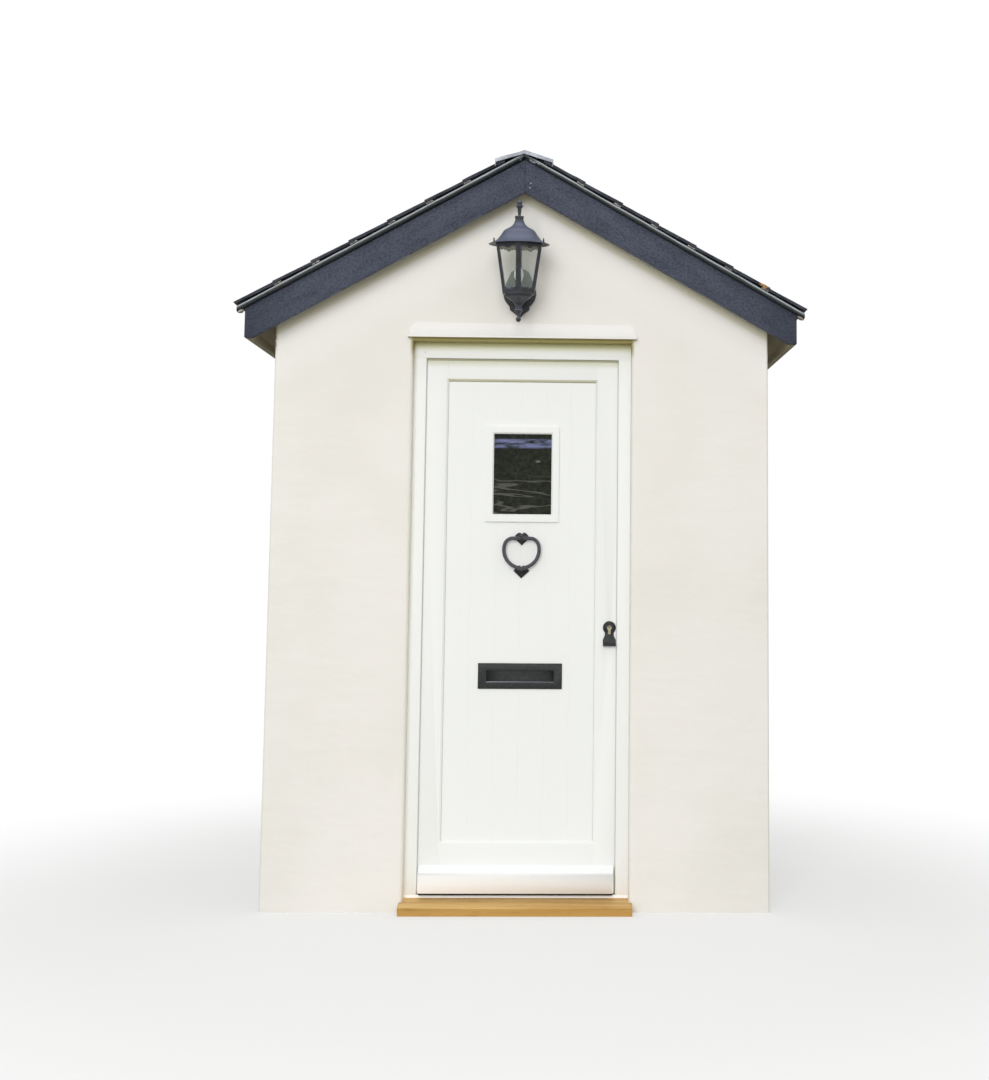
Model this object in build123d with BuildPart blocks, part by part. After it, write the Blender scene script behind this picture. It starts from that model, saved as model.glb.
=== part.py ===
"""A cottage front door in its gabled, rendered porch.

Millimetres. X runs to the right and Y goes into the building, both from the middle of the doorway on
the outer face of the front wall. Z is up from the ground. The porch is open at the back, where it
meets the house wall.
"""
from build123d import *
from math import cos, radians, sin, tan
import os

os.makedirs("parts", exist_ok=True)

# Porch walls and floor
PORCH_WIDTH = 1880.0
PORCH_DEPTH = 900.0
WALL_THICKNESS = 130.0
FLOOR_LEVEL = 45.0
REVEAL_ARRIS = 14.0
CORNER_ARRIS = 8.0

# Door frame, sill and threshold
FRAME_WIDTH = 834.0
FRAME_TOP = 2122.0
FRAME_SETBACK = 50.0
FRAME_DEPTH = 66.0
JAMB_FACE = 48.0
HEAD_FACE = 61.0
STOP_THICKNESS = 7.0
STOP_LAP = 12.0
SILL_TOP = 51.0
THRESHOLD_BACK_TOP = 41.0
THRESHOLD_FRONT_TOP = 29.0
THRESHOLD_OVERHANG = 60.0
THRESHOLD_HORN = 11.0
THRESHOLD_ARRIS = 4.0
FRAME_BEVEL = 2.5
DRIP_RISE = 10.0
DRIP_HEIGHT = 62.0
DRIP_PROJECTION = 28.0
DRIP_LAP = 19.0
DRIP_LIP = 5.0
DRIP_END_SLOPE = 24.0

# Running clearances
EDGE_GAP = 7.0
FACE_GAP = 5.0
SEAT = 0.3

# Door leaf
LEAF_THICKNESS = 54.0
STILE_WIDTH = 97.0
TOP_RAIL_HEIGHT = 97.0
BOTTOM_RAIL_HEIGHT = 188.0
PANEL_THICKNESS = 30.0
PANEL_RECESS = 12.0
PANEL_TONGUE = 10.0
PANEL_BEVEL = 8.0
BOARD_COUNT = 6
BOARD_GROOVE = 0.9
FITTINGS_X = 4.0

# Vision panel
GLASS_WIDTH = 221.0
GLASS_HEIGHT = 308.0
GLASS_DROP = 203.0
BEAD_WIDTH = 29.0
BEAD_PROUD = 9.0
BEAD_REBATE = 12.0

# Weatherboard along the foot of the leaf
WEATHERBOARD_HEIGHT = 96.0
WEATHERBOARD_PROJECTION = 34.0
WEATHERBOARD_SLOPE = 26.0
WEATHERBOARD_ARRIS = 7.0
WEATHERBOARD_CORNER = 6.0

# Letterplate
PLATE_WIDTH = 318.0
PLATE_HEIGHT = 96.0
PLATE_THICKNESS = 6.0
PLATE_BEVEL = 2.4
INSIDE_PLATE = 3.0
PLATE_CENTRE_Z = 853.0
SLOT_WIDTH = 254.0
SLOT_HEIGHT = 42.0
FLAP_LAP = 5.0
FLAP_THICKNESS = 3.0
FLAP_GAP = 1.5
EAR_GAP = 0.5
EAR_THICKNESS = 3.5
EAR_RADIUS = 3.0
TRUNNION_RADIUS = 1.2

# Knocker
KNOCKER_DROP = 42.0
KNOCKER_HEIGHT = 173.0
RING_BAR = 14.0
RING_WIDTH = 149.0
RING_HEIGHT = 130.0
RING_DROP = 21.0
RING_STAND = 15.0
HEART_WIDTH = 53.0
HEART_HEIGHT = 48.0
HEART_THICKNESS = 5.0
LUG_WIDTH = 12.0
LUG_WALL = 2.5
LUG_CLEARANCE = 0.5

# Cylinder pull
PULL_X = 341.0
PULL_TOP = 1062.0
PULL_HEIGHT = 93.0
PULL_WIDTH = 49.0
PULL_WAIST = 34.0
PULL_PLATE = 3.0
PULL_RING = 18.0
PULL_RING_PROUD = 1.5
LIP_RADIUS = 24.0
LIP_TURN = 75.0
LIP_BEAD = 3.0
CYLINDER_RADIUS = 8.5
CYLINDER_WEB = 10.0
CYLINDER_DROP = 24.5
CYLINDER_PROUD = 6.0
KEYWAY_WIDTH = 2.0
KEYWAY_HEIGHT = 9.0
KEYWAY_DEPTH = 4.0

# Hinges
HINGE_HEIGHT = 100.0
HINGE_FROM_TOP = 200.0
HINGE_FROM_BOTTOM = 230.0
HINGE_PLATE = 2.5
HINGE_LEAF = 34.0
KNUCKLE_RADIUS = 6.0
PIN_RADIUS = 3.0
PIN_CLEARANCE = 0.08
KNUCKLE_GAP = 1.0

# Roof, measured square to the slope from the bottom edge of the bargeboards
PITCH = 29.5
WALL_HEAD_RISE = 20.2
SOFFIT_RAISE = 30.0
SOFFIT_THICKNESS = 12.0
RAFTER_DEPTH = 53.0
DECK_THICKNESS = 15.0
DECK_JOINT = 4.0
BATTEN_HEIGHT = 20.0
SLATE_STACK = 15.0
SLATE_THICKNESS = 5.0
SLATE_GAUGE = 160.0
EAVES_OVERHANG = 92.0
FASCIA_THICKNESS = 22.0
BARGE_FOOT = 30.0
VERGE_OVERHANG = 120.0
BARGE_THICKNESS = 25.0
STRIP_PROUD = 20.0
STRIP_PAST_EAVES = 27.0
SLATE_PROUD = 30.0
SLATE_PAST_EAVES = 40.0
SLATE_RIDGE_GAP = 72.0
BATTEN_WIDTH = 38.0
RAFTER_WIDTH = 45.0
RAFTER_COUNT = 4
RIDGE_BOARD_WIDTH = 25.0
RIDGE_BOARD_HEIGHT = 125.0
WALL_PLATE_WIDTH = 75.0
WALL_PLATE_HEIGHT = 40.0
WALL_PLATE_INSET = 35.0
LEAD_HALF_WIDTH = 109.0
LEAD_RISE = 34.0
LEAD_LIP = 15.0
LEAD_THICKNESS = 4.0
LEAD_TURN_DOWN = 12.0

# Lantern
LANTERN_X = -14.0
LANTERN_REACH = 145.0
LANTERN_DROP = 206.0
LANTERN_LEAN = 6.0
LANTERN_BRIM_WIDTH = 227.0
LANTERN_BRIM_EDGE = 2.5
TIP_SETBACK = 8.0
TIP_HEIGHT = 13.0
TIP_RADIUS = 3.5
CAGE_TOP_WIDTH = 170.0
CAGE_BOTTOM_WIDTH = 118.0
CAGE_HEIGHT = 185.0
CAGE_BAR = 11.0
CAGE_SHEET = 2.0
GLASS_PANE = 2.0
PANE_LAP = 3.0
SCALLOP_COUNT = 5
SCALLOP_DROP = 1.7
HOOD_HEIGHT = 96.0
HOOD_NECK = 31.0
FINIAL_HEIGHT = 68.0
FINIAL_RADIUS = 16.5
DISH_HEIGHT = 40.0
STEM_RADIUS = 14.0
STEM_HEIGHT = 36.0
STEM_SEAT = 23.5
DROP_HEIGHT = 34.0
DROP_RADIUS = 10.0
BULB_RADIUS = 18.0
BULB_HEIGHT = 96.0
BACKPLATE_WIDTH = 126.0
BACKPLATE_ABOVE = 122.0
BACKPLATE_BELOW = 74.0
BACKPLATE_THICKNESS = 12.0
BACKPLATE_BEVEL = 3.0
ARM_WIDTH = 14.0
ARM_BOSS_WIDTH = 36.0
ARM_BOSS_THICKNESS = 4.0
ARM_DIP = 14.0

# Places that follow from the sizes above
half_porch = PORCH_WIDTH / 2
half_frame = FRAME_WIDTH / 2
stop_edge = half_frame - JAMB_FACE
leaf_half = stop_edge + STOP_LAP
rebate_face = leaf_half + EDGE_GAP
frame_back = FRAME_SETBACK + FRAME_DEPTH
leaf_front = FRAME_SETBACK + STOP_THICKNESS + FACE_GAP
leaf_back = leaf_front + LEAF_THICKNESS
head_stop = FRAME_TOP - HEAD_FACE
leaf_top = head_stop + STOP_LAP
leaf_bottom = SILL_TOP + FACE_GAP
panel_half = leaf_half - STILE_WIDTH
panel_top = leaf_top - TOP_RAIL_HEIGHT
panel_bottom = leaf_bottom + BOTTOM_RAIL_HEIGHT
sight_top = panel_top - GLASS_DROP
sight_bottom = sight_top - GLASS_HEIGHT
glass_centre_z = (sight_top + sight_bottom) / 2
knocker_top = sight_bottom - BEAD_WIDTH - KNOCKER_DROP
knocker_bottom = knocker_top - KNOCKER_HEIGHT
pull_bottom = PULL_TOP - PULL_HEIGHT
drip_bottom = FRAME_TOP + DRIP_RISE
panel_front = leaf_front + PANEL_RECESS
panel_back = panel_front + PANEL_THICKNESS
soffit_top = SOFFIT_RAISE + SOFFIT_THICKNESS
rafter_top = soffit_top + RAFTER_DEPTH
deck_top = rafter_top + DECK_THICKNESS
batten_top = deck_top + BATTEN_HEIGHT
lock_z = PULL_TOP - PULL_WIDTH / 2
slate_top = batten_top + SLATE_STACK
eaves_half_span = half_porch + EAVES_OVERHANG
strip_half_span = eaves_half_span + STRIP_PAST_EAVES
slate_half_span = eaves_half_span + SLATE_PAST_EAVES
barge_back = VERGE_OVERHANG - BARGE_THICKNESS
strip_front = VERGE_OVERHANG + STRIP_PROUD
slate_front = VERGE_OVERHANG + SLATE_PROUD
barge_apex = FRAME_TOP + WALL_HEAD_RISE + half_porch * tan(radians(PITCH))


def slope_z(x, offset):
    """Height of the roof slope at x, where offset is square to the slope from the barge's lower edge."""
    return barge_apex - abs(x) * tan(radians(PITCH)) + offset / cos(radians(PITCH))


def front_plane(y):
    """Upright plane facing the front at depth y, drawn in X and Z. A negative extrude goes inwards."""
    return Plane(origin=(0, y, 0), x_dir=(1, 0, 0), z_dir=(0, -1, 0))


def side_plane(x):
    """Upright plane facing the right at x, drawn in Y and Z. A positive extrude goes to the right."""
    return Plane(origin=(x, 0, 0), x_dir=(0, 1, 0), z_dir=(1, 0, 0))


def block(x0, x1, y0, y1, z0, z1, mode=Mode.ADD):
    """A square-cut block between two corners, in the part that is being built."""
    with Locations((min(x0, x1), y0, z0)):
        Box(abs(x1 - x0), y1 - y0, z1 - z0, align=(Align.MIN, Align.MIN, Align.MIN), mode=mode)


def band(side, x0, x1, low, high, y0, y1, mode=Mode.ADD):
    """A board that lies in the roof slope on one side, with plumb ends, from y0 to y1."""
    with BuildSketch(front_plane(y0)) as section:
        with BuildLine():
            Polyline(
                (side * x0, slope_z(x0, low)),
                (side * x1, slope_z(x1, low)),
                (side * x1, slope_z(x1, high)),
                (side * x0, slope_z(x0, high)),
                close=True,
            )
        make_face()
    extrude(section.sketch, amount=y0 - y1, mode=mode)


def bevelled_cut(y, depth, half_width, bottom, top, bevel):
    """Cuts an opening whose edges splay outwards by the bevel at depth y, in the part being built."""
    faces = []
    for at_y, spread in ((y, bevel), (y + depth, 0)):
        with BuildSketch(front_plane(at_y)) as section:
            with Locations((0, (bottom + top) / 2)):
                Rectangle(2 * (half_width + spread), top - bottom + 2 * spread)
        faces.append(section.sketch.face())
    loft(faces, ruled=True, mode=Mode.SUBTRACT)


def save(piece, name):
    """Names a finished piece and writes it out."""
    piece.part.label = name
    export_step(piece.part, f"parts/{name}.step")


# Masonry: rendered walls with soft arrises round the doorway and at the outer corners
for side, word in ((-1, "left"), (1, "right")):
    with BuildPart() as front_wall:
        block(side * half_frame, side * half_porch, 0, WALL_THICKNESS, 0, FRAME_TOP)
        front_edges = front_wall.edges().filter_by(Axis.Z).group_by(Axis.Y)[0].sort_by(SortBy.DISTANCE)
        fillet(front_edges[0], REVEAL_ARRIS)
        corner = front_wall.edges().filter_by(Axis.Z).group_by(Axis.Y)[0].sort_by(SortBy.DISTANCE)[-1]
        fillet(corner, CORNER_ARRIS)
    save(front_wall, f"front_wall_{word}")

    with BuildPart() as side_wall:
        block(
            side * (half_porch - WALL_THICKNESS),
            side * half_porch,
            WALL_THICKNESS,
            PORCH_DEPTH,
            0,
            slope_z(half_porch, soffit_top),
        )
    save(side_wall, f"side_wall_{word}")

with BuildPart() as gable_wall:
    with BuildSketch(front_plane(0)):
        with BuildLine():
            Polyline(
                (-half_porch, FRAME_TOP),
                (half_porch, FRAME_TOP),
                (half_porch, slope_z(half_porch, rafter_top)),
                (0, slope_z(0, rafter_top)),
                (-half_porch, slope_z(half_porch, rafter_top)),
                close=True,
            )
        make_face()
    extrude(amount=-WALL_THICKNESS)
    corners = gable_wall.edges().filter_by(Axis.Z).group_by(Axis.Y)[0]
    fillet(corners, CORNER_ARRIS)
save(gable_wall, "gable_wall")

with BuildPart() as floor_slab:
    block(
        WALL_THICKNESS - half_porch,
        half_porch - WALL_THICKNESS,
        WALL_THICKNESS,
        PORCH_DEPTH,
        0,
        FLOOR_LEVEL,
    )
    block(-half_frame, half_frame, frame_back, WALL_THICKNESS, 0, FLOOR_LEVEL)
save(floor_slab, "floor_slab")

# Drip moulding: a bell-cast of render over the doorway that dies into the wall at its top and ends
drip_half = half_frame + DRIP_LAP
with BuildPart() as drip_moulding:
    with BuildSketch(side_plane(-drip_half)):
        with BuildLine():
            foot = Line((0, drip_bottom), (-DRIP_PROJECTION, drip_bottom))
            lip_line = Line(foot @ 1, (-DRIP_PROJECTION, drip_bottom + DRIP_LIP))
            bell = Spline(lip_line @ 1, (0, drip_bottom + DRIP_HEIGHT), tangents=[(0.75, 0.65), (0, 1)])
            Line(bell @ 1, foot @ 0)
        make_face()
    extrude(amount=2 * drip_half)
    with BuildSketch(front_plane(0)):
        with BuildLine():
            bottom_edge = Line((0, drip_bottom), (drip_half, drip_bottom))
            end_curve = Spline(
                bottom_edge @ 1,
                (drip_half - DRIP_END_SLOPE, drip_bottom + DRIP_HEIGHT),
                tangents=[(0, 1), (-0.7, 0.7)],
            )
            Line(end_curve @ 1, (0, drip_bottom + DRIP_HEIGHT))
            mirror(about=Plane.YZ)
        make_face()
    extrude(amount=DRIP_PROJECTION, mode=Mode.INTERSECT)
save(drip_moulding, "drip_moulding")

# Door frame: rebated jambs and head, the stop on the outside because the leaf opens inwards
for side, word in ((-1, "left"), (1, "right")):
    with BuildPart() as frame_jamb:
        with BuildSketch(Plane.XY.offset(SILL_TOP)):
            with BuildLine():
                Polyline(
                    (side * half_frame, FRAME_SETBACK),
                    (side * stop_edge, FRAME_SETBACK),
                    (side * stop_edge, FRAME_SETBACK + STOP_THICKNESS),
                    (side * rebate_face, FRAME_SETBACK + STOP_THICKNESS),
                    (side * rebate_face, frame_back),
                    (side * half_frame, frame_back),
                    close=True,
                )
            make_face()
        extrude(amount=head_stop - SILL_TOP)
        bevelled_cut(FRAME_SETBACK, FRAME_BEVEL, stop_edge, 0, head_stop, FRAME_BEVEL)
    save(frame_jamb, f"frame_jamb_{word}")

with BuildPart() as frame_head:
    with BuildSketch(side_plane(-half_frame)):
        with BuildLine():
            Polyline(
                (FRAME_SETBACK, head_stop),
                (FRAME_SETBACK, FRAME_TOP),
                (frame_back, FRAME_TOP),
                (frame_back, leaf_top + EDGE_GAP),
                (FRAME_SETBACK + STOP_THICKNESS, leaf_top + EDGE_GAP),
                (FRAME_SETBACK + STOP_THICKNESS, head_stop),
                close=True,
            )
        make_face()
    extrude(amount=FRAME_WIDTH)
    for side in (-1, 1):
        block(
            side * rebate_face,
            side * half_frame,
            FRAME_SETBACK,
            frame_back,
            head_stop,
            leaf_top + EDGE_GAP,
        )
    bevelled_cut(FRAME_SETBACK, FRAME_BEVEL, stop_edge, 0, head_stop, FRAME_BEVEL)
save(frame_head, "frame_head")

with BuildPart() as door_sill:
    block(-half_frame, half_frame, FRAME_SETBACK, frame_back, 0, SILL_TOP)
save(door_sill, "door_sill")

# Oak threshold, weathered to the front, with horns past the reveals
with BuildPart() as oak_threshold:
    with BuildSketch(side_plane(-half_frame - THRESHOLD_HORN)):
        with BuildLine():
            Polyline(
                (-THRESHOLD_OVERHANG, 0),
                (FRAME_SETBACK, 0),
                (FRAME_SETBACK, THRESHOLD_BACK_TOP),
                (-THRESHOLD_OVERHANG, THRESHOLD_FRONT_TOP),
                close=True,
            )
        make_face()
    extrude(amount=FRAME_WIDTH + 2 * THRESHOLD_HORN)
    for side in (-1, 1):
        block(
            side * half_frame,
            side * (half_frame + THRESHOLD_HORN),
            0,
            FRAME_SETBACK,
            0,
            THRESHOLD_BACK_TOP,
            mode=Mode.SUBTRACT,
        )
    front_nose = oak_threshold.edges().filter_by(Axis.X).group_by(Axis.Y)[0].sort_by(Axis.Z)[-1]
    fillet(front_nose, THRESHOLD_ARRIS)
save(oak_threshold, "oak_threshold")

# Roof timbers and coverings, one set for each slope
eaves_inner = eaves_half_span - FASCIA_THICKNESS
wall_head = slope_z(half_porch, soffit_top)
plate_outer = half_porch - WALL_PLATE_INSET
plate_inner = plate_outer - WALL_PLATE_WIDTH
barge_level_x = eaves_half_span - BARGE_FOOT
fascia_bottom = slope_z(barge_level_x, 0)
rafter_run = PORCH_DEPTH - WALL_THICKNESS - RAFTER_WIDTH
rafter_places = [WALL_THICKNESS + rafter_run * i / (RAFTER_COUNT - 1) for i in range(RAFTER_COUNT)]
slate_step = SLATE_GAUGE * cos(radians(PITCH))
course_tails = []
tail = slate_half_span
while tail > SLATE_RIDGE_GAP + slate_step / 2:
    course_tails.append(tail)
    tail -= slate_step

for side, word in ((-1, "left"), (1, "right")):
    with BuildPart() as bargeboard:
        with BuildSketch(front_plane(-VERGE_OVERHANG)):
            with BuildLine():
                Polyline(
                    (0, slope_z(0, 0)),
                    (side * barge_level_x, fascia_bottom),
                    (side * eaves_half_span, fascia_bottom),
                    (side * eaves_half_span, slope_z(eaves_half_span, deck_top)),
                    (0, slope_z(0, deck_top)),
                    close=True,
                )
            make_face()
        extrude(amount=-BARGE_THICKNESS)
    save(bargeboard, f"bargeboard_{word}")

    with BuildPart() as soffit:
        band(side, half_porch, eaves_inner, SOFFIT_RAISE, soffit_top, -barge_back, PORCH_DEPTH)
        band(side, 0, half_porch, SOFFIT_RAISE, soffit_top, -barge_back, 0)
    save(soffit, f"soffit_{word}")

    with BuildPart() as verge_strip:
        band(side, 0, strip_half_span, deck_top, batten_top, -strip_front, -barge_back)
        nose = verge_strip.edges().group_by(Axis.Y)[0].sort_by(Axis.Z)
        long_edges = [e for e in nose if e.length > eaves_half_span]
        fillet(long_edges, BATTEN_HEIGHT * 0.45)
    save(verge_strip, f"verge_strip_{word}")

    with BuildPart() as slates:
        with BuildSketch(front_plane(-slate_front)):
            with BuildLine():
                outline = [(SLATE_RIDGE_GAP, slope_z(SLATE_RIDGE_GAP, batten_top))]
                outline.append((slate_half_span, slope_z(slate_half_span, batten_top)))
                for tail, head in zip(course_tails, course_tails[1:] + [SLATE_RIDGE_GAP]):
                    outline.append((tail, slope_z(tail, slate_top)))
                    outline.append((head, slope_z(head, slate_top - SLATE_THICKNESS)))
                Polyline(*[(side * x, z) for x, z in outline], close=True)
            make_face()
        extrude(amount=-(slate_front + PORCH_DEPTH))
    save(slates, f"slates_{word}")

with BuildPart() as fascias:
    for side in (-1, 1):
        with BuildSketch(front_plane(-barge_back)):
            with BuildLine():
                Polyline(
                    (side * eaves_inner, fascia_bottom),
                    (side * eaves_half_span, fascia_bottom),
                    (side * eaves_half_span, slope_z(eaves_half_span, rafter_top)),
                    (side * eaves_inner, slope_z(eaves_inner, rafter_top)),
                    close=True,
                )
            make_face()
        extrude(amount=-(PORCH_DEPTH + barge_back))
save(fascias, "fascias")

with BuildPart() as wall_plates:
    for side in (-1, 1):
        block(
            side * plate_inner,
            side * plate_outer,
            WALL_THICKNESS,
            PORCH_DEPTH,
            wall_head,
            wall_head + WALL_PLATE_HEIGHT,
        )
save(wall_plates, "wall_plates")

with BuildPart() as rafters:
    for side in (-1, 1):
        for y in rafter_places:
            band(side, RIDGE_BOARD_WIDTH / 2, eaves_inner, soffit_top, rafter_top, y, y + RAFTER_WIDTH)
    add(wall_plates.part, mode=Mode.SUBTRACT)
save(rafters, "rafters")

with BuildPart() as roof_deck:
    for side in (-1, 1):
        band(side, DECK_JOINT / 2, eaves_half_span, rafter_top, deck_top, -barge_back, PORCH_DEPTH)
save(roof_deck, "roof_deck")

with BuildPart() as battens:
    for side in (-1, 1):
        for tail in [eaves_half_span] + course_tails[1:]:
            band(side, tail - BATTEN_WIDTH, tail, deck_top, batten_top, -barge_back, PORCH_DEPTH)
save(battens, "battens")

with BuildPart() as ridge_board:
    ridge_top = slope_z(RIDGE_BOARD_WIDTH / 2, rafter_top)
    block(
        -RIDGE_BOARD_WIDTH / 2,
        RIDGE_BOARD_WIDTH / 2,
        WALL_THICKNESS,
        PORCH_DEPTH,
        ridge_top - RIDGE_BOARD_HEIGHT,
        ridge_top,
    )
save(ridge_board, "ridge_board")

with BuildPart() as ridge_lead:
    lead_seat = slope_z(LEAD_HALF_WIDTH, slate_top) + SEAT
    lead_edge = lead_seat + LEAD_LIP
    with BuildSketch(front_plane(-slate_front)):
        with BuildLine():
            Polyline(
                (0, lead_edge + LEAD_RISE),
                (LEAD_HALF_WIDTH, lead_edge),
                (LEAD_HALF_WIDTH, lead_seat),
                (LEAD_HALF_WIDTH - LEAD_THICKNESS, lead_seat + LEAD_THICKNESS),
                (LEAD_HALF_WIDTH - LEAD_THICKNESS, lead_edge - LEAD_THICKNESS),
                (0, lead_edge + LEAD_RISE - LEAD_THICKNESS),
                close=True,
            )
        make_face()
        mirror(about=Plane.YZ)
    extrude(amount=-(slate_front + PORCH_DEPTH))
    with BuildSketch(front_plane(-slate_front)) as front_lip:
        with BuildLine():
            Polyline(
                (0, lead_edge + LEAD_RISE),
                (LEAD_HALF_WIDTH, lead_edge),
                (LEAD_HALF_WIDTH, lead_edge - LEAD_TURN_DOWN),
                (0, lead_edge + LEAD_RISE - LEAD_TURN_DOWN),
                close=True,
            )
        make_face()
        mirror(about=Plane.YZ)
    extrude(front_lip.sketch, amount=LEAD_THICKNESS)
save(ridge_lead, "ridge_lead")

# Door leaf: grooved stiles and rails, bevelled towards a boarded panel on both faces
def bevel_round_panel():
    """Bevels the edges that frame the panel, in the part being built."""
    bevelled_cut(leaf_front, PANEL_BEVEL, panel_half, panel_bottom, panel_top, PANEL_BEVEL)
    bevelled_cut(leaf_back, -PANEL_BEVEL, panel_half, panel_bottom, panel_top, PANEL_BEVEL)


for side, name in ((-1, "hinge_stile"), (1, "lock_stile")):
    with BuildPart() as stile:
        block(side * panel_half, side * leaf_half, leaf_front, leaf_back, leaf_bottom, leaf_top)
        block(
            side * panel_half,
            side * (panel_half + PANEL_TONGUE),
            panel_front,
            panel_back,
            panel_bottom - PANEL_TONGUE,
            panel_top + PANEL_TONGUE,
            mode=Mode.SUBTRACT,
        )
        bevel_round_panel()
        if name == "lock_stile":
            with BuildSketch(front_plane(leaf_back)):
                with Locations((PULL_X, lock_z)):
                    Circle(CYLINDER_RADIUS + SEAT)
                with Locations((PULL_X, lock_z - CYLINDER_DROP / 2)):
                    Rectangle(CYLINDER_WEB + 2 * SEAT, CYLINDER_DROP + 2 * SEAT)
            extrude(amount=LEAF_THICKNESS, mode=Mode.SUBTRACT)
    save(stile, name)

with BuildPart() as top_rail:
    block(-panel_half, panel_half, leaf_front, leaf_back, panel_top, leaf_top)
    block(
        -panel_half,
        panel_half,
        panel_front,
        panel_back,
        panel_top,
        panel_top + PANEL_TONGUE,
        mode=Mode.SUBTRACT,
    )
    bevel_round_panel()
save(top_rail, "top_rail")

with BuildPart() as bottom_rail:
    block(-panel_half, panel_half, leaf_front, leaf_back, leaf_bottom, panel_bottom)
    block(
        -panel_half,
        panel_half,
        panel_front,
        panel_back,
        panel_bottom - PANEL_TONGUE,
        panel_bottom,
        mode=Mode.SUBTRACT,
    )
    bevel_round_panel()
save(bottom_rail, "bottom_rail")

sight_half = GLASS_WIDTH / 2
flap_width = SLOT_WIDTH + 2 * FLAP_LAP
flap_height = SLOT_HEIGHT + 2 * FLAP_LAP

with BuildPart() as door_panel:
    block(
        -panel_half - PANEL_TONGUE,
        panel_half + PANEL_TONGUE,
        panel_front,
        panel_back,
        panel_bottom - PANEL_TONGUE,
        panel_top + PANEL_TONGUE,
    )
    for y in (panel_front, panel_back):
        for i in range(1, BOARD_COUNT):
            joint_x = -panel_half + 2 * panel_half * i / BOARD_COUNT
            with BuildSketch(Plane.XY.offset(panel_bottom)):
                with Locations((joint_x, y)):
                    Rectangle(BOARD_GROOVE, BOARD_GROOVE, rotation=45)
            extrude(amount=panel_top - panel_bottom, mode=Mode.SUBTRACT)
    block(
        FITTINGS_X - sight_half - BEAD_REBATE,
        FITTINGS_X + sight_half + BEAD_REBATE,
        panel_front,
        panel_back,
        sight_bottom - BEAD_REBATE,
        sight_top + BEAD_REBATE,
        mode=Mode.SUBTRACT,
    )
    block(
        FITTINGS_X - flap_width / 2 - FACE_GAP,
        FITTINGS_X + flap_width / 2 + FACE_GAP,
        panel_front,
        panel_back,
        PLATE_CENTRE_Z - flap_height / 2 - FACE_GAP,
        PLATE_CENTRE_Z + flap_height / 2 + FACE_GAP,
        mode=Mode.SUBTRACT,
    )
save(door_panel, "door_panel")

# Vision panel: a sealed glass unit between a bead frame on each face
with BuildPart() as vision_glass:
    block(
        FITTINGS_X - sight_half - BEAD_REBATE + SEAT,
        FITTINGS_X + sight_half + BEAD_REBATE - SEAT,
        panel_front,
        panel_back,
        sight_bottom - BEAD_REBATE + SEAT,
        sight_top + BEAD_REBATE - SEAT,
    )
save(vision_glass, "vision_glass")

with BuildPart() as vision_beads:
    for y, out in ((panel_front, -1), (panel_back, 1)):
        with BuildSketch(front_plane(y)) as bead_frame:
            with Locations((FITTINGS_X, glass_centre_z)):
                Rectangle(GLASS_WIDTH + 2 * BEAD_WIDTH, GLASS_HEIGHT + 2 * BEAD_WIDTH)
                Rectangle(GLASS_WIDTH, GLASS_HEIGHT, mode=Mode.SUBTRACT)
        extrude(amount=-out * BEAD_PROUD)
        face = vision_beads.faces().sort_by(Axis.Y)[0 if out < 0 else -1]
        chamfer(face.inner_wires()[0].edges(), BEAD_PROUD * 0.6)
save(vision_beads, "vision_beads")

# Weatherboard: throws rain clear of the sill, and is cut short of the stops so that it can swing
swing_x = -leaf_half - EDGE_GAP / 2
swing_y = leaf_back + KNUCKLE_RADIUS + SEAT
board_hinge_end = -(stop_edge - FACE_GAP)
weatherboard_top = leaf_bottom + FACE_GAP + WEATHERBOARD_HEIGHT
corner_reach = ((stop_edge - FACE_GAP - swing_x) ** 2 + (swing_y - leaf_front) ** 2) ** 0.5
corner_depth = swing_y - leaf_front + WEATHERBOARD_PROJECTION
board_lock_end = swing_x + (corner_reach**2 - corner_depth**2) ** 0.5
with BuildPart() as weatherboard:
    with BuildSketch(side_plane(board_hinge_end)):
        with BuildLine():
            Polyline(
                (leaf_front, leaf_bottom + FACE_GAP),
                (leaf_front - WEATHERBOARD_PROJECTION, leaf_bottom + FACE_GAP),
                (leaf_front - WEATHERBOARD_PROJECTION, weatherboard_top - WEATHERBOARD_SLOPE),
                (leaf_front, weatherboard_top),
                close=True,
            )
        make_face()
    extrude(amount=board_lock_end - board_hinge_end)
    top_nose = weatherboard.edges().filter_by(Axis.X).group_by(Axis.Y)[0].sort_by(Axis.Z)[-1]
    fillet(top_nose, WEATHERBOARD_ARRIS)
    lower_ends = weatherboard.edges().filter_by(Axis.Y).group_by(Axis.Z)[0]
    fillet(lower_ends, WEATHERBOARD_CORNER)
save(weatherboard, "weatherboard")

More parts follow.
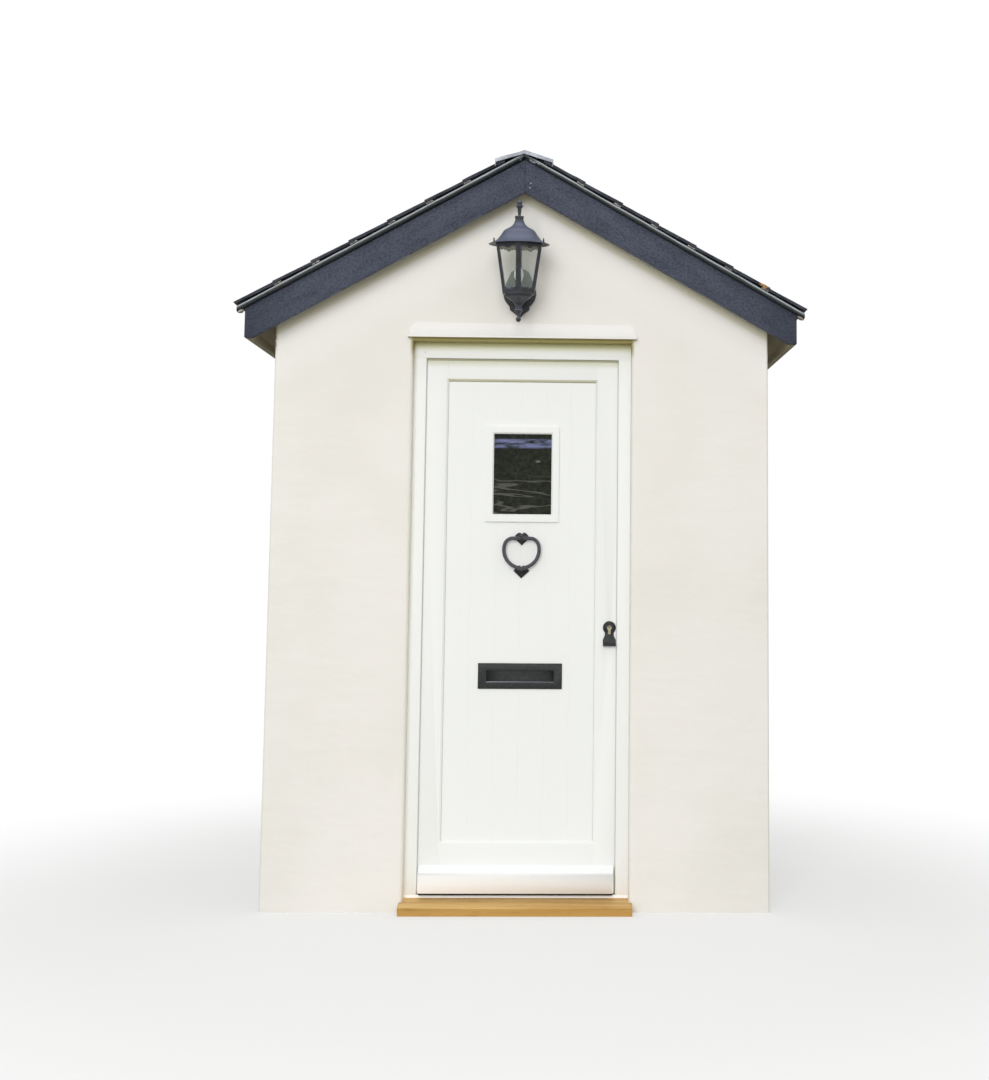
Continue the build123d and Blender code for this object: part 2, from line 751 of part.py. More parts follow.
# Letterplate: a plate on each face of the leaf, and a sprung flap hung behind the outer slot
plate_back = panel_front
flap_front = plate_back + FLAP_GAP
flap_radius = FLAP_THICKNESS / 2
flap_pivot_y = flap_front + flap_radius
flap_pivot_z = PLATE_CENTRE_Z + flap_height / 2 - flap_radius
ear_start = flap_width / 2 + EAR_GAP
with BuildPart() as letterplate:
    with BuildSketch(front_plane(plate_back - PLATE_THICKNESS)):
        with Locations((FITTINGS_X, PLATE_CENTRE_Z)):
            Rectangle(PLATE_WIDTH, PLATE_HEIGHT)
            Rectangle(SLOT_WIDTH, SLOT_HEIGHT, mode=Mode.SUBTRACT)
    extrude(amount=-PLATE_THICKNESS)
    outer_face = letterplate.faces().sort_by(Axis.Y)[0]
    chamfer(outer_face.edges(), PLATE_BEVEL)
    for start in (FITTINGS_X - ear_start - EAR_THICKNESS, FITTINGS_X + ear_start):
        with BuildSketch(side_plane(start)):
            with Locations(((plate_back + flap_pivot_y) / 2, flap_pivot_z)):
                Rectangle(flap_pivot_y - plate_back, 2 * EAR_RADIUS)
            with Locations((flap_pivot_y, flap_pivot_z)):
                Circle(EAR_RADIUS)
                Circle(TRUNNION_RADIUS + PIN_CLEARANCE, mode=Mode.SUBTRACT)
        extrude(amount=EAR_THICKNESS)
save(letterplate, "letterplate")

with BuildPart() as letterplate_inside:
    with BuildSketch(front_plane(panel_back)):
        with Locations((FITTINGS_X, PLATE_CENTRE_Z)):
            Rectangle(PLATE_WIDTH, PLATE_HEIGHT)
            Rectangle(flap_width + 2 * FACE_GAP, flap_height + 2 * FACE_GAP, mode=Mode.SUBTRACT)
    extrude(amount=-INSIDE_PLATE)
save(letterplate_inside, "letterplate_inside")

with BuildPart() as letter_flap:
    with BuildSketch(side_plane(FITTINGS_X - flap_width / 2)):
        with Locations((flap_pivot_y, PLATE_CENTRE_Z)):
            SlotOverall(flap_height, FLAP_THICKNESS, rotation=90)
    extrude(amount=flap_width)
    trunnion_reach = ear_start + EAR_THICKNESS
    with BuildSketch(side_plane(FITTINGS_X - trunnion_reach)):
        with Locations((flap_pivot_y, flap_pivot_z)):
            Circle(TRUNNION_RADIUS)
    extrude(amount=2 * trunnion_reach)
save(letter_flap, "letter_flap")

# Knocker: a heart-shaped ring on a lug of the upper plate, and a boss below for it to strike
ring_z = knocker_top - RING_DROP
ring_radius = RING_BAR / 2
ring_back = panel_front - RING_STAND
ring_y = ring_back - ring_radius
lug_bore = ring_radius + LUG_CLEARANCE
ring_reach = (RING_WIDTH - RING_BAR) / 2
ring_drop = RING_HEIGHT - RING_BAR
heart_axis = Plane(origin=(FITTINGS_X, 0, 0), z_dir=(1, 0, 0))


def heart(top, bottom, width):
    """Outline of a small heart plate between two heights, drawn in X and Z on the panel."""
    rise = top - bottom
    with BuildSketch(front_plane(panel_front)) as outline:
        with BuildLine():
            Spline(
                (FITTINGS_X, top - rise * 0.12),
                (FITTINGS_X + width * 0.24, top),
                (FITTINGS_X + width * 0.5, top - rise * 0.28),
                (FITTINGS_X, bottom),
                tangents=[(0.4, 1), (-1, -1)],
            )
            mirror(about=heart_axis)
        make_face()
    return outline.sketch


def ring_point(across, down):
    """A point on the ring's centre line, from the middle of its top bar."""
    return (FITTINGS_X + across, ring_y, ring_z - down)


with BuildPart() as knocker_ring:
    with BuildLine() as half_heart:
        top_bar = Line(ring_point(0, 0), ring_point(ring_reach * 0.49, 0))
        shoulder_end = ring_point(ring_reach * 0.95, ring_drop * 0.2)
        shoulder = TangentArc(top_bar @ 1, shoulder_end, tangent=top_bar % 1)
        side_end = ring_point(ring_reach * 0.45, ring_drop * 0.9)
        side_bar = TangentArc(shoulder @ 1, side_end, tangent=shoulder % 1)
        TangentArc(side_bar @ 1, ring_point(0, ring_drop), tangent=side_bar % 1)
    with BuildSketch(Plane(origin=half_heart.line @ 0, z_dir=(1, 0, 0))):
        Circle(ring_radius)
    sweep(path=half_heart.line)
    mirror(about=heart_axis)
    with Locations((FITTINGS_X, ring_y, ring_z - ring_drop)):
        Sphere(ring_radius)
save(knocker_ring, "knocker_ring")

with BuildPart() as knocker_plates:
    extrude(heart(knocker_top, knocker_top - HEART_HEIGHT, HEART_WIDTH), amount=HEART_THICKNESS)
    with BuildSketch(side_plane(FITTINGS_X - LUG_WIDTH / 2)):
        with Locations((ring_y, ring_z)):
            Circle(lug_bore + LUG_WALL)
        with Locations(((ring_y + panel_front) / 2, ring_z)):
            Rectangle(panel_front - ring_y, 2 * (lug_bore + LUG_WALL))
        with Locations((ring_y, ring_z)):
            Circle(lug_bore, mode=Mode.SUBTRACT)
    extrude(amount=LUG_WIDTH)
    extrude(heart(knocker_bottom + HEART_HEIGHT, knocker_bottom, HEART_WIDTH), amount=HEART_THICKNESS)
    with BuildSketch(front_plane(panel_front)):
        with Locations((FITTINGS_X, ring_z - ring_drop)):
            Circle(ring_radius)
    extrude(amount=RING_STAND - SEAT)
save(knocker_plates, "knocker_plates")

# Cylinder pull: a keyhole-shaped plate whose foot curls out into a beaded lip for the fingers
lip_start = pull_bottom + LIP_BEAD + LIP_RADIUS * sin(radians(LIP_TURN))
plate_middle = leaf_front - PULL_PLATE / 2
with BuildPart() as cylinder_pull:
    with BuildSketch(side_plane(PULL_X - PULL_WIDTH / 2)):
        with BuildLine():
            upright = Line((plate_middle, PULL_TOP), (plate_middle, lip_start))
            lip = JernArc(upright @ 1, upright % 1, LIP_RADIUS, -LIP_TURN)
        trace(line_width=PULL_PLATE)
        with Locations(lip @ 1):
            Circle(LIP_BEAD)
    extrude(amount=PULL_WIDTH)
    with BuildSketch(front_plane(leaf_front)):
        with Locations((PULL_X, lock_z)):
            Circle(PULL_WIDTH / 2)
        with BuildLine():
            Polyline(
                (PULL_X, lock_z),
                (PULL_X + PULL_WAIST / 2, lock_z),
                (PULL_X + PULL_WAIST / 2, lock_z - PULL_WIDTH * 0.6),
                (PULL_X + PULL_WIDTH / 2, lip_start - PULL_PLATE),
                (PULL_X + PULL_WIDTH / 2, pull_bottom),
                (PULL_X, pull_bottom),
            )
            mirror(about=Plane(origin=(PULL_X, 0, 0), z_dir=(1, 0, 0)))
        make_face()
    extrude(amount=2 * LIP_RADIUS, mode=Mode.INTERSECT)
    with BuildSketch(front_plane(leaf_front - PULL_PLATE)):
        with Locations((PULL_X, lock_z)):
            Circle(PULL_RING)
    extrude(amount=PULL_RING_PROUD)
    with BuildSketch(front_plane(leaf_front)):
        with Locations((PULL_X, lock_z)):
            Circle(CYLINDER_RADIUS + SEAT)
        with Locations((PULL_X, lock_z - CYLINDER_DROP / 2)):
            Rectangle(CYLINDER_WEB + 2 * SEAT, CYLINDER_DROP + 2 * SEAT)
    extrude(amount=2 * PULL_PLATE, mode=Mode.SUBTRACT)
save(cylinder_pull, "cylinder_pull")

with BuildPart() as lock_cylinder:
    with BuildSketch(front_plane(leaf_front - CYLINDER_PROUD)):
        with Locations((PULL_X, lock_z)):
            Circle(CYLINDER_RADIUS)
        with Locations((PULL_X, lock_z - CYLINDER_DROP / 2)):
            Rectangle(CYLINDER_WEB, CYLINDER_DROP)
    extrude(amount=-(LEAF_THICKNESS + 2 * CYLINDER_PROUD))
    for face_y, into in ((leaf_front - CYLINDER_PROUD, -1), (leaf_back + CYLINDER_PROUD, 1)):
        with BuildSketch(front_plane(face_y)):
            with Locations((PULL_X, lock_z)):
                Rectangle(KEYWAY_WIDTH, KEYWAY_HEIGHT)
        extrude(amount=into * KEYWAY_DEPTH, mode=Mode.SUBTRACT)
save(lock_cylinder, "lock_cylinder")

# Butt hinges: three, with their knuckles on the inside
hinge_places = [
    leaf_bottom + HINGE_FROM_BOTTOM,
    (leaf_bottom + leaf_top) / 2,
    leaf_top - HINGE_FROM_TOP,
]
knuckle = HINGE_HEIGHT / 3
with BuildPart() as hinges_frame:
    for z in hinge_places:
        block(
            -rebate_face,
            -rebate_face + HINGE_PLATE,
            swing_y - KNUCKLE_RADIUS - HINGE_LEAF,
            swing_y,
            z - HINGE_HEIGHT / 2,
            z + HINGE_HEIGHT / 2,
        )
        for end in (-1, 1):
            with Locations((swing_x, swing_y, z + end * knuckle)):
                Cylinder(KNUCKLE_RADIUS, knuckle)
        with Locations((swing_x, swing_y, z)):
            Cylinder(KNUCKLE_RADIUS + KNUCKLE_GAP, knuckle + KNUCKLE_GAP, mode=Mode.SUBTRACT)
        with Locations((swing_x, swing_y, z)):
            Cylinder(PIN_RADIUS, HINGE_HEIGHT)
save(hinges_frame, "hinges_frame")

with BuildPart() as hinges_door:
    for z in hinge_places:
        block(
            -leaf_half - HINGE_PLATE,
            -leaf_half,
            swing_y - KNUCKLE_RADIUS - HINGE_LEAF,
            swing_y,
            z - HINGE_HEIGHT / 2,
            z + HINGE_HEIGHT / 2,
        )
        for end in (-1, 1):
            with Locations((swing_x, swing_y, z + end * knuckle)):
                Cylinder(KNUCKLE_RADIUS + KNUCKLE_GAP, knuckle + KNUCKLE_GAP, mode=Mode.SUBTRACT)
        with Locations((swing_x, swing_y, z)):
            Cylinder(KNUCKLE_RADIUS, knuckle)
            Cylinder(PIN_RADIUS + PIN_CLEARANCE, HINGE_HEIGHT, mode=Mode.SUBTRACT)
save(hinges_door, "hinges_door")

# Lantern: six-sided, with a corner to the front, under a round bell hood. It leans forwards on its arm,
# so its heights are measured up its own axis from the seat of its stem on the arm.
seat_z = barge_apex - LANTERN_DROP - CAGE_HEIGHT - DISH_HEIGHT - STEM_HEIGHT + STEM_SEAT
stem_bottom = -STEM_SEAT
dish_bottom = stem_bottom + STEM_HEIGHT
cage_bottom = dish_bottom + DISH_HEIGHT
cage_top = cage_bottom + CAGE_HEIGHT
hood_top = cage_top + HOOD_HEIGHT
lantern_axis = (0, -sin(radians(LANTERN_LEAN)), cos(radians(LANTERN_LEAN)))
leaning = Plane(origin=(LANTERN_X, -LANTERN_REACH, seat_z), x_dir=(1, 0, 0), z_dir=lantern_axis)
leaning_front = Plane(origin=leaning.origin, x_dir=leaning.x_dir, z_dir=-leaning.y_dir)


def hexagon(width, height):
    """A six-sided section across the lantern, given its width across the flats."""
    with BuildSketch(leaning.offset(height)) as section:
        RegularPolygon(width / 2, 6, major_radius=False, rotation=30)
    return section.sketch.face()


def turned(base, height, radius, outline):
    """A round form on the lantern's axis, from shares of its radius given at shares of its height."""
    with BuildSketch(leaning_front) as section:
        with BuildLine():
            points = [(radius * wide, base + height * high) for high, wide in outline]
            Polyline((0, base), *points, (0, base + height), close=True)
        make_face()
    revolve(section.sketch, axis=Axis(leaning.origin, leaning.z_dir))


bell_arcs = (((0.09, 0.72), (0.4, 0.47)), ((0.59, 0.32), (0.72, 0.15)), ((0.83, 0.05), (1, 0)))
with BuildPart() as lantern_hood:
    bell_height = HOOD_HEIGHT - LANTERN_BRIM_EDGE
    bell_reach = (LANTERN_BRIM_WIDTH - HOOD_NECK) / 2
    brim_radius = LANTERN_BRIM_WIDTH / 2
    brim_top = cage_top + LANTERN_BRIM_EDGE
    with BuildSketch(leaning_front) as bell_section:
        with BuildLine():
            brim = Polyline((0, hood_top), (0, cage_top), (brim_radius, cage_top), (brim_radius, brim_top))
            bell_end = brim @ 1
            for middle, end in bell_arcs:
                through, stop = [
                    (HOOD_NECK / 2 + bell_reach * wide, brim_top + bell_height * high)
                    for high, wide in (middle, end)
                ]
                bell = ThreePointArc(bell_end, through, stop)
                bell_end = bell @ 1
            Line(bell_end, brim @ 0)
        make_face()
    revolve(bell_section.sketch, axis=Axis(leaning.origin, leaning.z_dir))
    with BuildSketch(leaning.offset(brim_top)):
        with PolarLocations(brim_radius - TIP_SETBACK, 6, start_angle=30):
            Circle(TIP_RADIUS)
    extrude(amount=TIP_HEIGHT, taper=12)
save(lantern_hood, "lantern_hood")

finial_outline = (
    (0, 1),
    (0.05, 1),
    (0.09, 0.3),
    (0.5, 0.48),
    (0.58, 0.85),
    (0.63, 0.85),
    (0.67, 0.52),
    (0.8, 0.6),
    (0.92, 0.36),
    (0.97, 0.12),
)
with BuildPart() as lantern_finial:
    turned(hood_top, FINIAL_HEIGHT, FINIAL_RADIUS, finial_outline)
save(lantern_finial, "lantern_finial")


def pane_plane(turn, inset):
    """Plane of one side of the cage, inset from its outer face, with its Y axis up the side."""
    outward = leaning.x_dir * cos(radians(turn)) + leaning.y_dir * sin(radians(turn))
    along = leaning.y_dir * cos(radians(turn)) - leaning.x_dir * sin(radians(turn))
    splay = outward * ((CAGE_TOP_WIDTH - CAGE_BOTTOM_WIDTH) / 2) + leaning.z_dir * CAGE_HEIGHT
    normal = along.cross(splay).normalized()
    middle = leaning.origin + leaning.z_dir * ((cage_top + cage_bottom) / 2)
    middle += outward * ((CAGE_TOP_WIDTH + CAGE_BOTTOM_WIDTH) / 4)
    return Plane(origin=middle - normal * inset, x_dir=along, z_dir=normal)


def pane_outline(turn, inset, margin, scalloped):
    """The outline of one glazed side, smaller than that side by the margin, scalloped or straight."""
    half_height = CAGE_HEIGHT / 2 - margin
    taper = tan(radians(30)) / 2
    high_half = CAGE_TOP_WIDTH * taper - margin
    low_half = CAGE_BOTTOM_WIDTH * taper - margin
    with BuildSketch(pane_plane(turn, inset)) as outline:
        with BuildLine():
            Polyline(
                (low_half, -half_height),
                (high_half, half_height),
                (-high_half, half_height),
                (-low_half, -half_height),
                close=True,
            )
        make_face()
        if scalloped:
            for edge_half, edge_z in ((high_half, half_height), (low_half, -half_height)):
                lobe = edge_half / SCALLOP_COUNT
                places = [lobe * (2 * i + 1 - SCALLOP_COUNT) for i in range(SCALLOP_COUNT)]
                with Locations(*[(x, edge_z) for x in places]):
                    Circle(lobe, mode=Mode.SUBTRACT)
                with Locations((0, edge_z)):
                    Circle(lobe * SCALLOP_DROP, mode=Mode.SUBTRACT)
    return outline.sketch


pane_turns = range(0, 360, 60)
with BuildPart() as lantern_cage:
    loft([hexagon(CAGE_BOTTOM_WIDTH, cage_bottom), hexagon(CAGE_TOP_WIDTH, cage_top)], ruled=True)
    inner_low = hexagon(CAGE_BOTTOM_WIDTH - 2 * CAGE_SHEET, cage_bottom)
    inner_high = hexagon(CAGE_TOP_WIDTH - 2 * CAGE_SHEET, cage_top)
    loft([inner_low, inner_high], ruled=True, mode=Mode.SUBTRACT)
    for turn in pane_turns:
        pane = pane_outline(turn, 0, CAGE_BAR, True)
        extrude(pane, amount=2 * CAGE_SHEET, both=True, mode=Mode.SUBTRACT)
save(lantern_cage, "lantern_cage")

with BuildPart() as lantern_glass:
    for turn in pane_turns:
        pane = pane_outline(turn, CAGE_SHEET + SEAT, CAGE_BAR - PANE_LAP, False)
        extrude(pane, amount=-GLASS_PANE)
save(lantern_glass, "lantern_glass")

dish_outline = ((1, 1), (0.85, 1), (0.8, 0.84), (0.64, 0.81), (0.4, 0.59), (0.2, 0.42), (0, 0.3))
stem_outline = ((0, 0.5), (0.15, 1), (0.3, 1.15), (0.4, 0.9), (0.85, 0.9), (0.9, 1.2), (1, 1.2))
drop_outline = ((0.03, 0.3), (0.12, 0.75), (0.3, 1), (0.5, 0.8), (0.6, 0.45), (0.8, 0.45), (1, 0.7))
with BuildPart() as lantern_base:
    dish = []
    for high, wide in dish_outline:
        dish.append(hexagon(CAGE_BOTTOM_WIDTH * wide, dish_bottom + DISH_HEIGHT * high))
    for upper, lower in zip(dish, dish[1:]):
        loft([lower, upper], ruled=True)
    turned(stem_bottom, STEM_HEIGHT, STEM_RADIUS, stem_outline)
    turned(stem_bottom - DROP_HEIGHT, DROP_HEIGHT, DROP_RADIUS, drop_outline)
save(lantern_base, "lantern_base")

bulb_outline = ((0, 0.7), (0.3, 0.7), (0.42, 0.85), (0.6, 1), (0.72, 0.9), (0.86, 0.6), (0.96, 0.25))
with BuildPart() as lantern_lamp:
    turned(cage_bottom, BULB_HEIGHT, BULB_RADIUS, bulb_outline)
save(lantern_lamp, "lantern_lamp")

# Lantern bracket: a pointed backplate, and an arm that dips and rises into the back of the stem
plate_z = seat_z + cage_bottom
arm_root_z = plate_z - ARM_BOSS_THICKNESS
arm_end = leaning.origin + leaning.y_dir * (STEM_RADIUS * 0.9 + SEAT)
with BuildPart() as lantern_bracket:
    plate_half = BACKPLATE_WIDTH / 2
    widest_z = plate_z + BACKPLATE_ABOVE * 0.2
    with BuildSketch(front_plane(0)):
        with BuildLine():
            crown = Spline(
                (LANTERN_X, plate_z + BACKPLATE_ABOVE),
                (LANTERN_X + plate_half, widest_z),
                tangents=[(0.8, -0.5), (0, -1)],
            )
            Spline(
                crown @ 1,
                (LANTERN_X + plate_half * 0.62, plate_z - BACKPLATE_BELOW * 0.45),
                (LANTERN_X, plate_z - BACKPLATE_BELOW),
                tangents=[(0, -1), (-1, -0.5)],
            )
            mirror(about=Plane(origin=(LANTERN_X, 0, 0), z_dir=(1, 0, 0)))
        make_face()
    extrude(amount=BACKPLATE_THICKNESS)
    chamfer(lantern_bracket.faces().sort_by(Axis.Y)[0].edges(), BACKPLATE_BEVEL)
    with BuildSketch(front_plane(-BACKPLATE_THICKNESS)):
        with Locations((LANTERN_X, arm_root_z)):
            Circle(ARM_BOSS_WIDTH / 2)
    extrude(amount=ARM_BOSS_THICKNESS, taper=30)
    with BuildLine() as arm_line:
        Spline(
            (LANTERN_X, -BACKPLATE_THICKNESS, arm_root_z),
            (LANTERN_X, arm_end.Y / 2, arm_end.Z - ARM_DIP),
            tuple(arm_end),
            tangents=[(0, -1, 0), tuple(-leaning.y_dir)],
        )
    with BuildSketch(Plane(origin=arm_line.line @ 0, x_dir=(1, 0, 0), z_dir=(0, -1, 0))):
        Circle(ARM_WIDTH / 2)
    sweep(path=arm_line.line)
save(lantern_bracket, "lantern_bracket")
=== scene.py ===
"""The finish of a cottage front door in its gabled, rendered porch. Metres, in the CAD part's frame."""
from contextlib import contextmanager
from math import atan2, cos, pi, radians, sin, tan
from random import Random

import bmesh
import bpy
from mathutils import Matrix, Vector


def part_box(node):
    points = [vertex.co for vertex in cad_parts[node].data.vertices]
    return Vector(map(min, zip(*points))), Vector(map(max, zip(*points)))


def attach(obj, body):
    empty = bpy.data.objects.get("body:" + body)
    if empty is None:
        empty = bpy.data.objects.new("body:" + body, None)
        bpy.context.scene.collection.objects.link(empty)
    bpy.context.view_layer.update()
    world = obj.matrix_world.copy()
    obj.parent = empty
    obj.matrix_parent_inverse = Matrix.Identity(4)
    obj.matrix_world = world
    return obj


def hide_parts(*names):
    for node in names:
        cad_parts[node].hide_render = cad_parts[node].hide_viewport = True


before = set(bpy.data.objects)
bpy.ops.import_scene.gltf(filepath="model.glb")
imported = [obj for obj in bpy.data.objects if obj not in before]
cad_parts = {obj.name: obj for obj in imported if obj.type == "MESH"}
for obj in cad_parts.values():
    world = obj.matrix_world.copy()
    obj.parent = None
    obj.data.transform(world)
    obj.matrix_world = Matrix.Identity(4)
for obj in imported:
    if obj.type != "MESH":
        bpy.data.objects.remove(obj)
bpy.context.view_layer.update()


# Rendered walls. Blockwork under a hand-floated sand and cement render with soft arrises, brushed with
# cream masonry paint. Painted shade lies yellow under the bargeboards, brown in the left reveal and
# olive at the head of the doorway, and a painted lighter band under the bargeboards offsets their
# shade.
def paint(red, green, blue):
    """A colour read as 0 to 255 from a surface in even light, made linear."""
    linear = []
    for level in (red, green, blue):
        share = level / 255
        linear.append(share / 12.92 if share <= 0.04045 else ((share + 0.055) / 1.055) ** 2.4)
    return (*linear, 1.0)


class Level:
    """A number or colour that varies from place to place. Arithmetic on it adds Math nodes."""

    def __init__(self, nodes, socket):
        self.nodes = nodes
        self.socket = socket

    def maths(self, operation, *values):
        return self.nodes.node("ShaderNodeMath", {"operation": operation}, values)

    def __add__(self, other):
        return self.maths("ADD", self, other)

    def __sub__(self, other):
        return self.maths("SUBTRACT", self, other)

    def __mul__(self, other):
        return self.maths("MULTIPLY", self, other)

    def __truediv__(self, other):
        return self.maths("DIVIDE", self, other)

    def __pow__(self, other):
        return self.maths("POWER", self, other)

    def __gt__(self, other):
        return self.maths("GREATER_THAN", self, other)

    def __rsub__(self, other):
        return self.maths("SUBTRACT", other, self)

    def __abs__(self):
        return self.maths("ABSOLUTE", self)

    __radd__ = __add__
    __rmul__ = __mul__

    def larger(self, other):
        return self.maths("MAXIMUM", self, other)

    def rise(self, start, end):
        """0 up to start and 1 from end on, with a soft turn between."""
        ends = {"interpolation_type": "SMOOTHSTEP"}
        return self.nodes.node("ShaderNodeMapRange", ends, {0: self, 1: start, 2: end})

    def fall(self, start, end):
        """1 up to start and 0 from end on, with a soft turn between."""
        return 1 - self.rise(start, end)

    def line(self, place, width):
        """1 on a thin line at a value of this level, and 0 beside it."""
        return abs(self - place).fall(width * 0.3, width)


class Nodes:
    """Adds nodes to one shader tree."""

    def __init__(self, tree):
        self.tree = tree

    def node(self, kind, settings, inputs, output=0):
        """Adds a node: its settings first, then the value or link of each of its sockets."""
        made = self.tree.nodes.new(kind)
        for setting, value in settings.items():
            setattr(made, setting, value)
        pairs = inputs.items() if isinstance(inputs, dict) else enumerate(inputs)
        for socket, value in pairs:
            if isinstance(value, Level):
                self.tree.links.new(value.socket, made.inputs[socket])
            else:
                made.inputs[socket].default_value = value
        return Level(self, made.outputs[output])

    def outputs(self, level):
        """All the outputs of the node that a level comes from."""
        return [Level(self, socket) for socket in level.socket.node.outputs]

    def split(self, place):
        """The x, y and z of a place or direction."""
        return self.outputs(self.node("ShaderNodeSeparateXYZ", {}, {0: place}))


class Finish(Nodes):
    """The finish of one kind of surface: a Principled shader and the nodes that vary it."""

    def __init__(self, name, **constants):
        self.material = bpy.data.materials.new(name)
        self.material.use_nodes = True
        super().__init__(self.material.node_tree)
        self.shader = next(n for n in self.tree.nodes if n.type == "BSDF_PRINCIPLED")
        for socket, value in constants.items():
            self.shader.inputs[socket.replace("_", " ")].default_value = value
        self.place = self.node("ShaderNodeTexCoord", {}, {}, "Object")
        self.x, self.y, self.z = self.split(self.place)
        self.upward = self.split(self.node("ShaderNodeNewGeometry", {}, {}, "Normal"))[2]

    def at(self, x, y, z):
        """A place put together from three levels or numbers."""
        return self.node("ShaderNodeCombineXYZ", {}, (x, y, z))

    def mix(self, base, other, share, how="MIX"):
        """One colour laid over another by a share of 0 to 1."""
        settings = {"data_type": "RGBA", "blend_type": how}
        return self.node("ShaderNodeMix", settings, {0: share, 6: base, 7: other}, 2)

    def stretched(self, scale, turn=(0, 0, 0)):
        """The place on the piece, turned and then scaled, for a pattern with a grain."""
        turned = self.node("ShaderNodeMapping", {}, {0: self.place, 2: turn})
        return self.node("ShaderNodeMapping", {}, {0: turned, 3: scale})

    def noise(self, scale, detail=3.0, rough=0.5, where=None, warp=0.0):
        """Soft noise about 0.5. The scale is in waves per metre of the place that it reads."""
        sockets = {"Vector": where or self.place, "Scale": scale, "Detail": detail, "Roughness": rough}
        return self.node("ShaderNodeTexNoise", {}, {**sockets, "Distortion": warp})

    def bump(self, height, depth, below=None):
        """A normal from a height of 0 to 1, whose full depth is in metres."""
        sockets = {"Strength": 1.0, "Distance": depth, "Height": height}
        if below is not None:
            sockets["Normal"] = below
        return self.node("ShaderNodeBump", {}, sockets)

    def use(self, **links):
        """Links what varies to the shader's sockets."""
        for socket, level in links.items():
            self.tree.links.new(level.socket, self.shader.inputs[socket.replace("_", " ")])


def dress(finish, *nodes):
    """Gives CAD pieces a finish."""
    for name in nodes:
        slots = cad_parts[name].data.materials
        slots.clear()
        slots.append(finish.material)


PITCH = radians(29.5)
BARGE_DEPTH = 0.110
wall_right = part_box("front_wall_right")
doorway_half = wall_right[0].x
wall_half = wall_right[1].x
barge_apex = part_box("bargeboard_right")[1].z - BARGE_DEPTH / cos(PITCH)

render = Finish("masonry_paint", Roughness=0.85, Specular_IOR_Level=0.3)
CREAM = paint(235, 232, 226)
CREAM_WORN = paint(230, 227, 219)
CREAM_PAINTED_LIGHT = paint(249, 247, 242)
BARGE_SHADE_YELLOW = paint(222, 217, 180)
REVEAL_SHADE_LOW = paint(240, 236, 222)
REVEAL_SHADE_HIGH = paint(216, 206, 184)
DRIP_SHADE_OLIVE = paint(170, 161, 106)
RUST_RUN = paint(176, 140, 112)
PAINTED_LIGHT_BAND = (0.02, 0.26)
BARGE_SHADE_BAND = (0.0, 0.02)
REVEAL_SHADE_BAND = (1.95, 2.12)
HEAD_SHADE_BAND = (2.05, 2.1)
RUST_BAND = (0.05, 0.09)
CORNER_BAND = (0.004, 0.012)
ARRIS_BAND = (0.012, 0.015)
REVEAL_BAND = (0.0003, 0.009)
DOORWAY_BAND = (-0.002, 0.016)
DRIP_END_BAND = (-0.012, -0.002)
from_middle = abs(render.x)
below_barge = (barge_apex - from_middle * tan(PITCH)) - render.z
on_front = render.y.fall(*CORNER_BAND)
in_reveal = (from_middle - doorway_half).fall(*ARRIS_BAND) * render.y.rise(*REVEAL_BAND)
drip_low, drip_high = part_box("drip_moulding")
under_drip = render.z.fall(drip_low.z, drip_low.z + 0.001) * render.z.rise(*HEAD_SHADE_BAND)
under_drip = under_drip * (from_middle - drip_high.x).fall(*DRIP_END_BAND)
over_doorway = (from_middle - doorway_half).fall(*DOORWAY_BAND)
coat = render.mix(CREAM, CREAM_WORN, render.noise(2.2, 4).rise(0.4, 0.75))
# Painted light: a lighter band of the cream under the bargeboards offsets the shade they cast on the
# wall.
coat = render.mix(coat, CREAM_PAINTED_LIGHT, below_barge.fall(*PAINTED_LIGHT_BAND) * on_front * 0.9)
# Painted shade: a yellow-tinted darker line on the wall just under the bargeboards.
coat = render.mix(coat, BARGE_SHADE_YELLOW, below_barge.fall(*BARGE_SHADE_BAND) * on_front * 0.5)
# Painted shade: the left reveal is painted darker and browner towards the head of the doorway.
reveal_shade = render.mix(REVEAL_SHADE_LOW, REVEAL_SHADE_HIGH, render.z.rise(*REVEAL_SHADE_BAND))
coat = render.mix(coat, reveal_shade, in_reveal * render.x.fall(0, 0.1))
# Painted shade: olive shade at the head of the doorway under the drip moulding.
coat = render.mix(coat, DRIP_SHADE_OLIVE, under_drip * over_doorway)
corner_run = (render.x + wall_half).fall(*CORNER_BAND) * below_barge.fall(*RUST_BAND) * on_front
coat = render.mix(coat, RUST_RUN, corner_run * render.noise(120, 2).rise(0.4, 0.6) * 0.7)
floated = render.noise(5.5, 2, where=render.stretched((1, 1, 2.2)))
normal = render.bump(floated, 0.004)
normal = render.bump(render.noise(190, 3, 0.6), 0.0006, normal)
render.use(Base_Color=coat, Normal=normal)
dress(render, "front_wall_left", "front_wall_right", "gable_wall", "side_wall_left", "side_wall_right")


# Porch floor. A slab of concrete inside the walls, trowelled smooth and left bare.
slab = Finish("trowelled_concrete", Roughness=0.8)
CONCRETE = paint(176, 173, 165)
CONCRETE_DARK = paint(150, 147, 139)
slab.use(
    Base_Color=slab.mix(CONCRETE, CONCRETE_DARK, slab.noise(7, 6, 0.62).rise(0.3, 0.7)),
    Normal=slab.bump(slab.noise(60, 4), 0.001),
)
dress(slab, "floor_slab")


# Drip moulding. A bell-cast run in the same render over the doorway, painted with the wall. Its
# underside is painted with a green-tinted shade.
@contextmanager
def shaping(piece):
    """Edit mode on one piece alone, with all of it selected."""
    chosen(piece)
    bpy.ops.object.mode_set(mode="EDIT")
    bpy.ops.mesh.select_all(action="SELECT")
    yield piece
    bpy.ops.object.mode_set(mode="OBJECT")


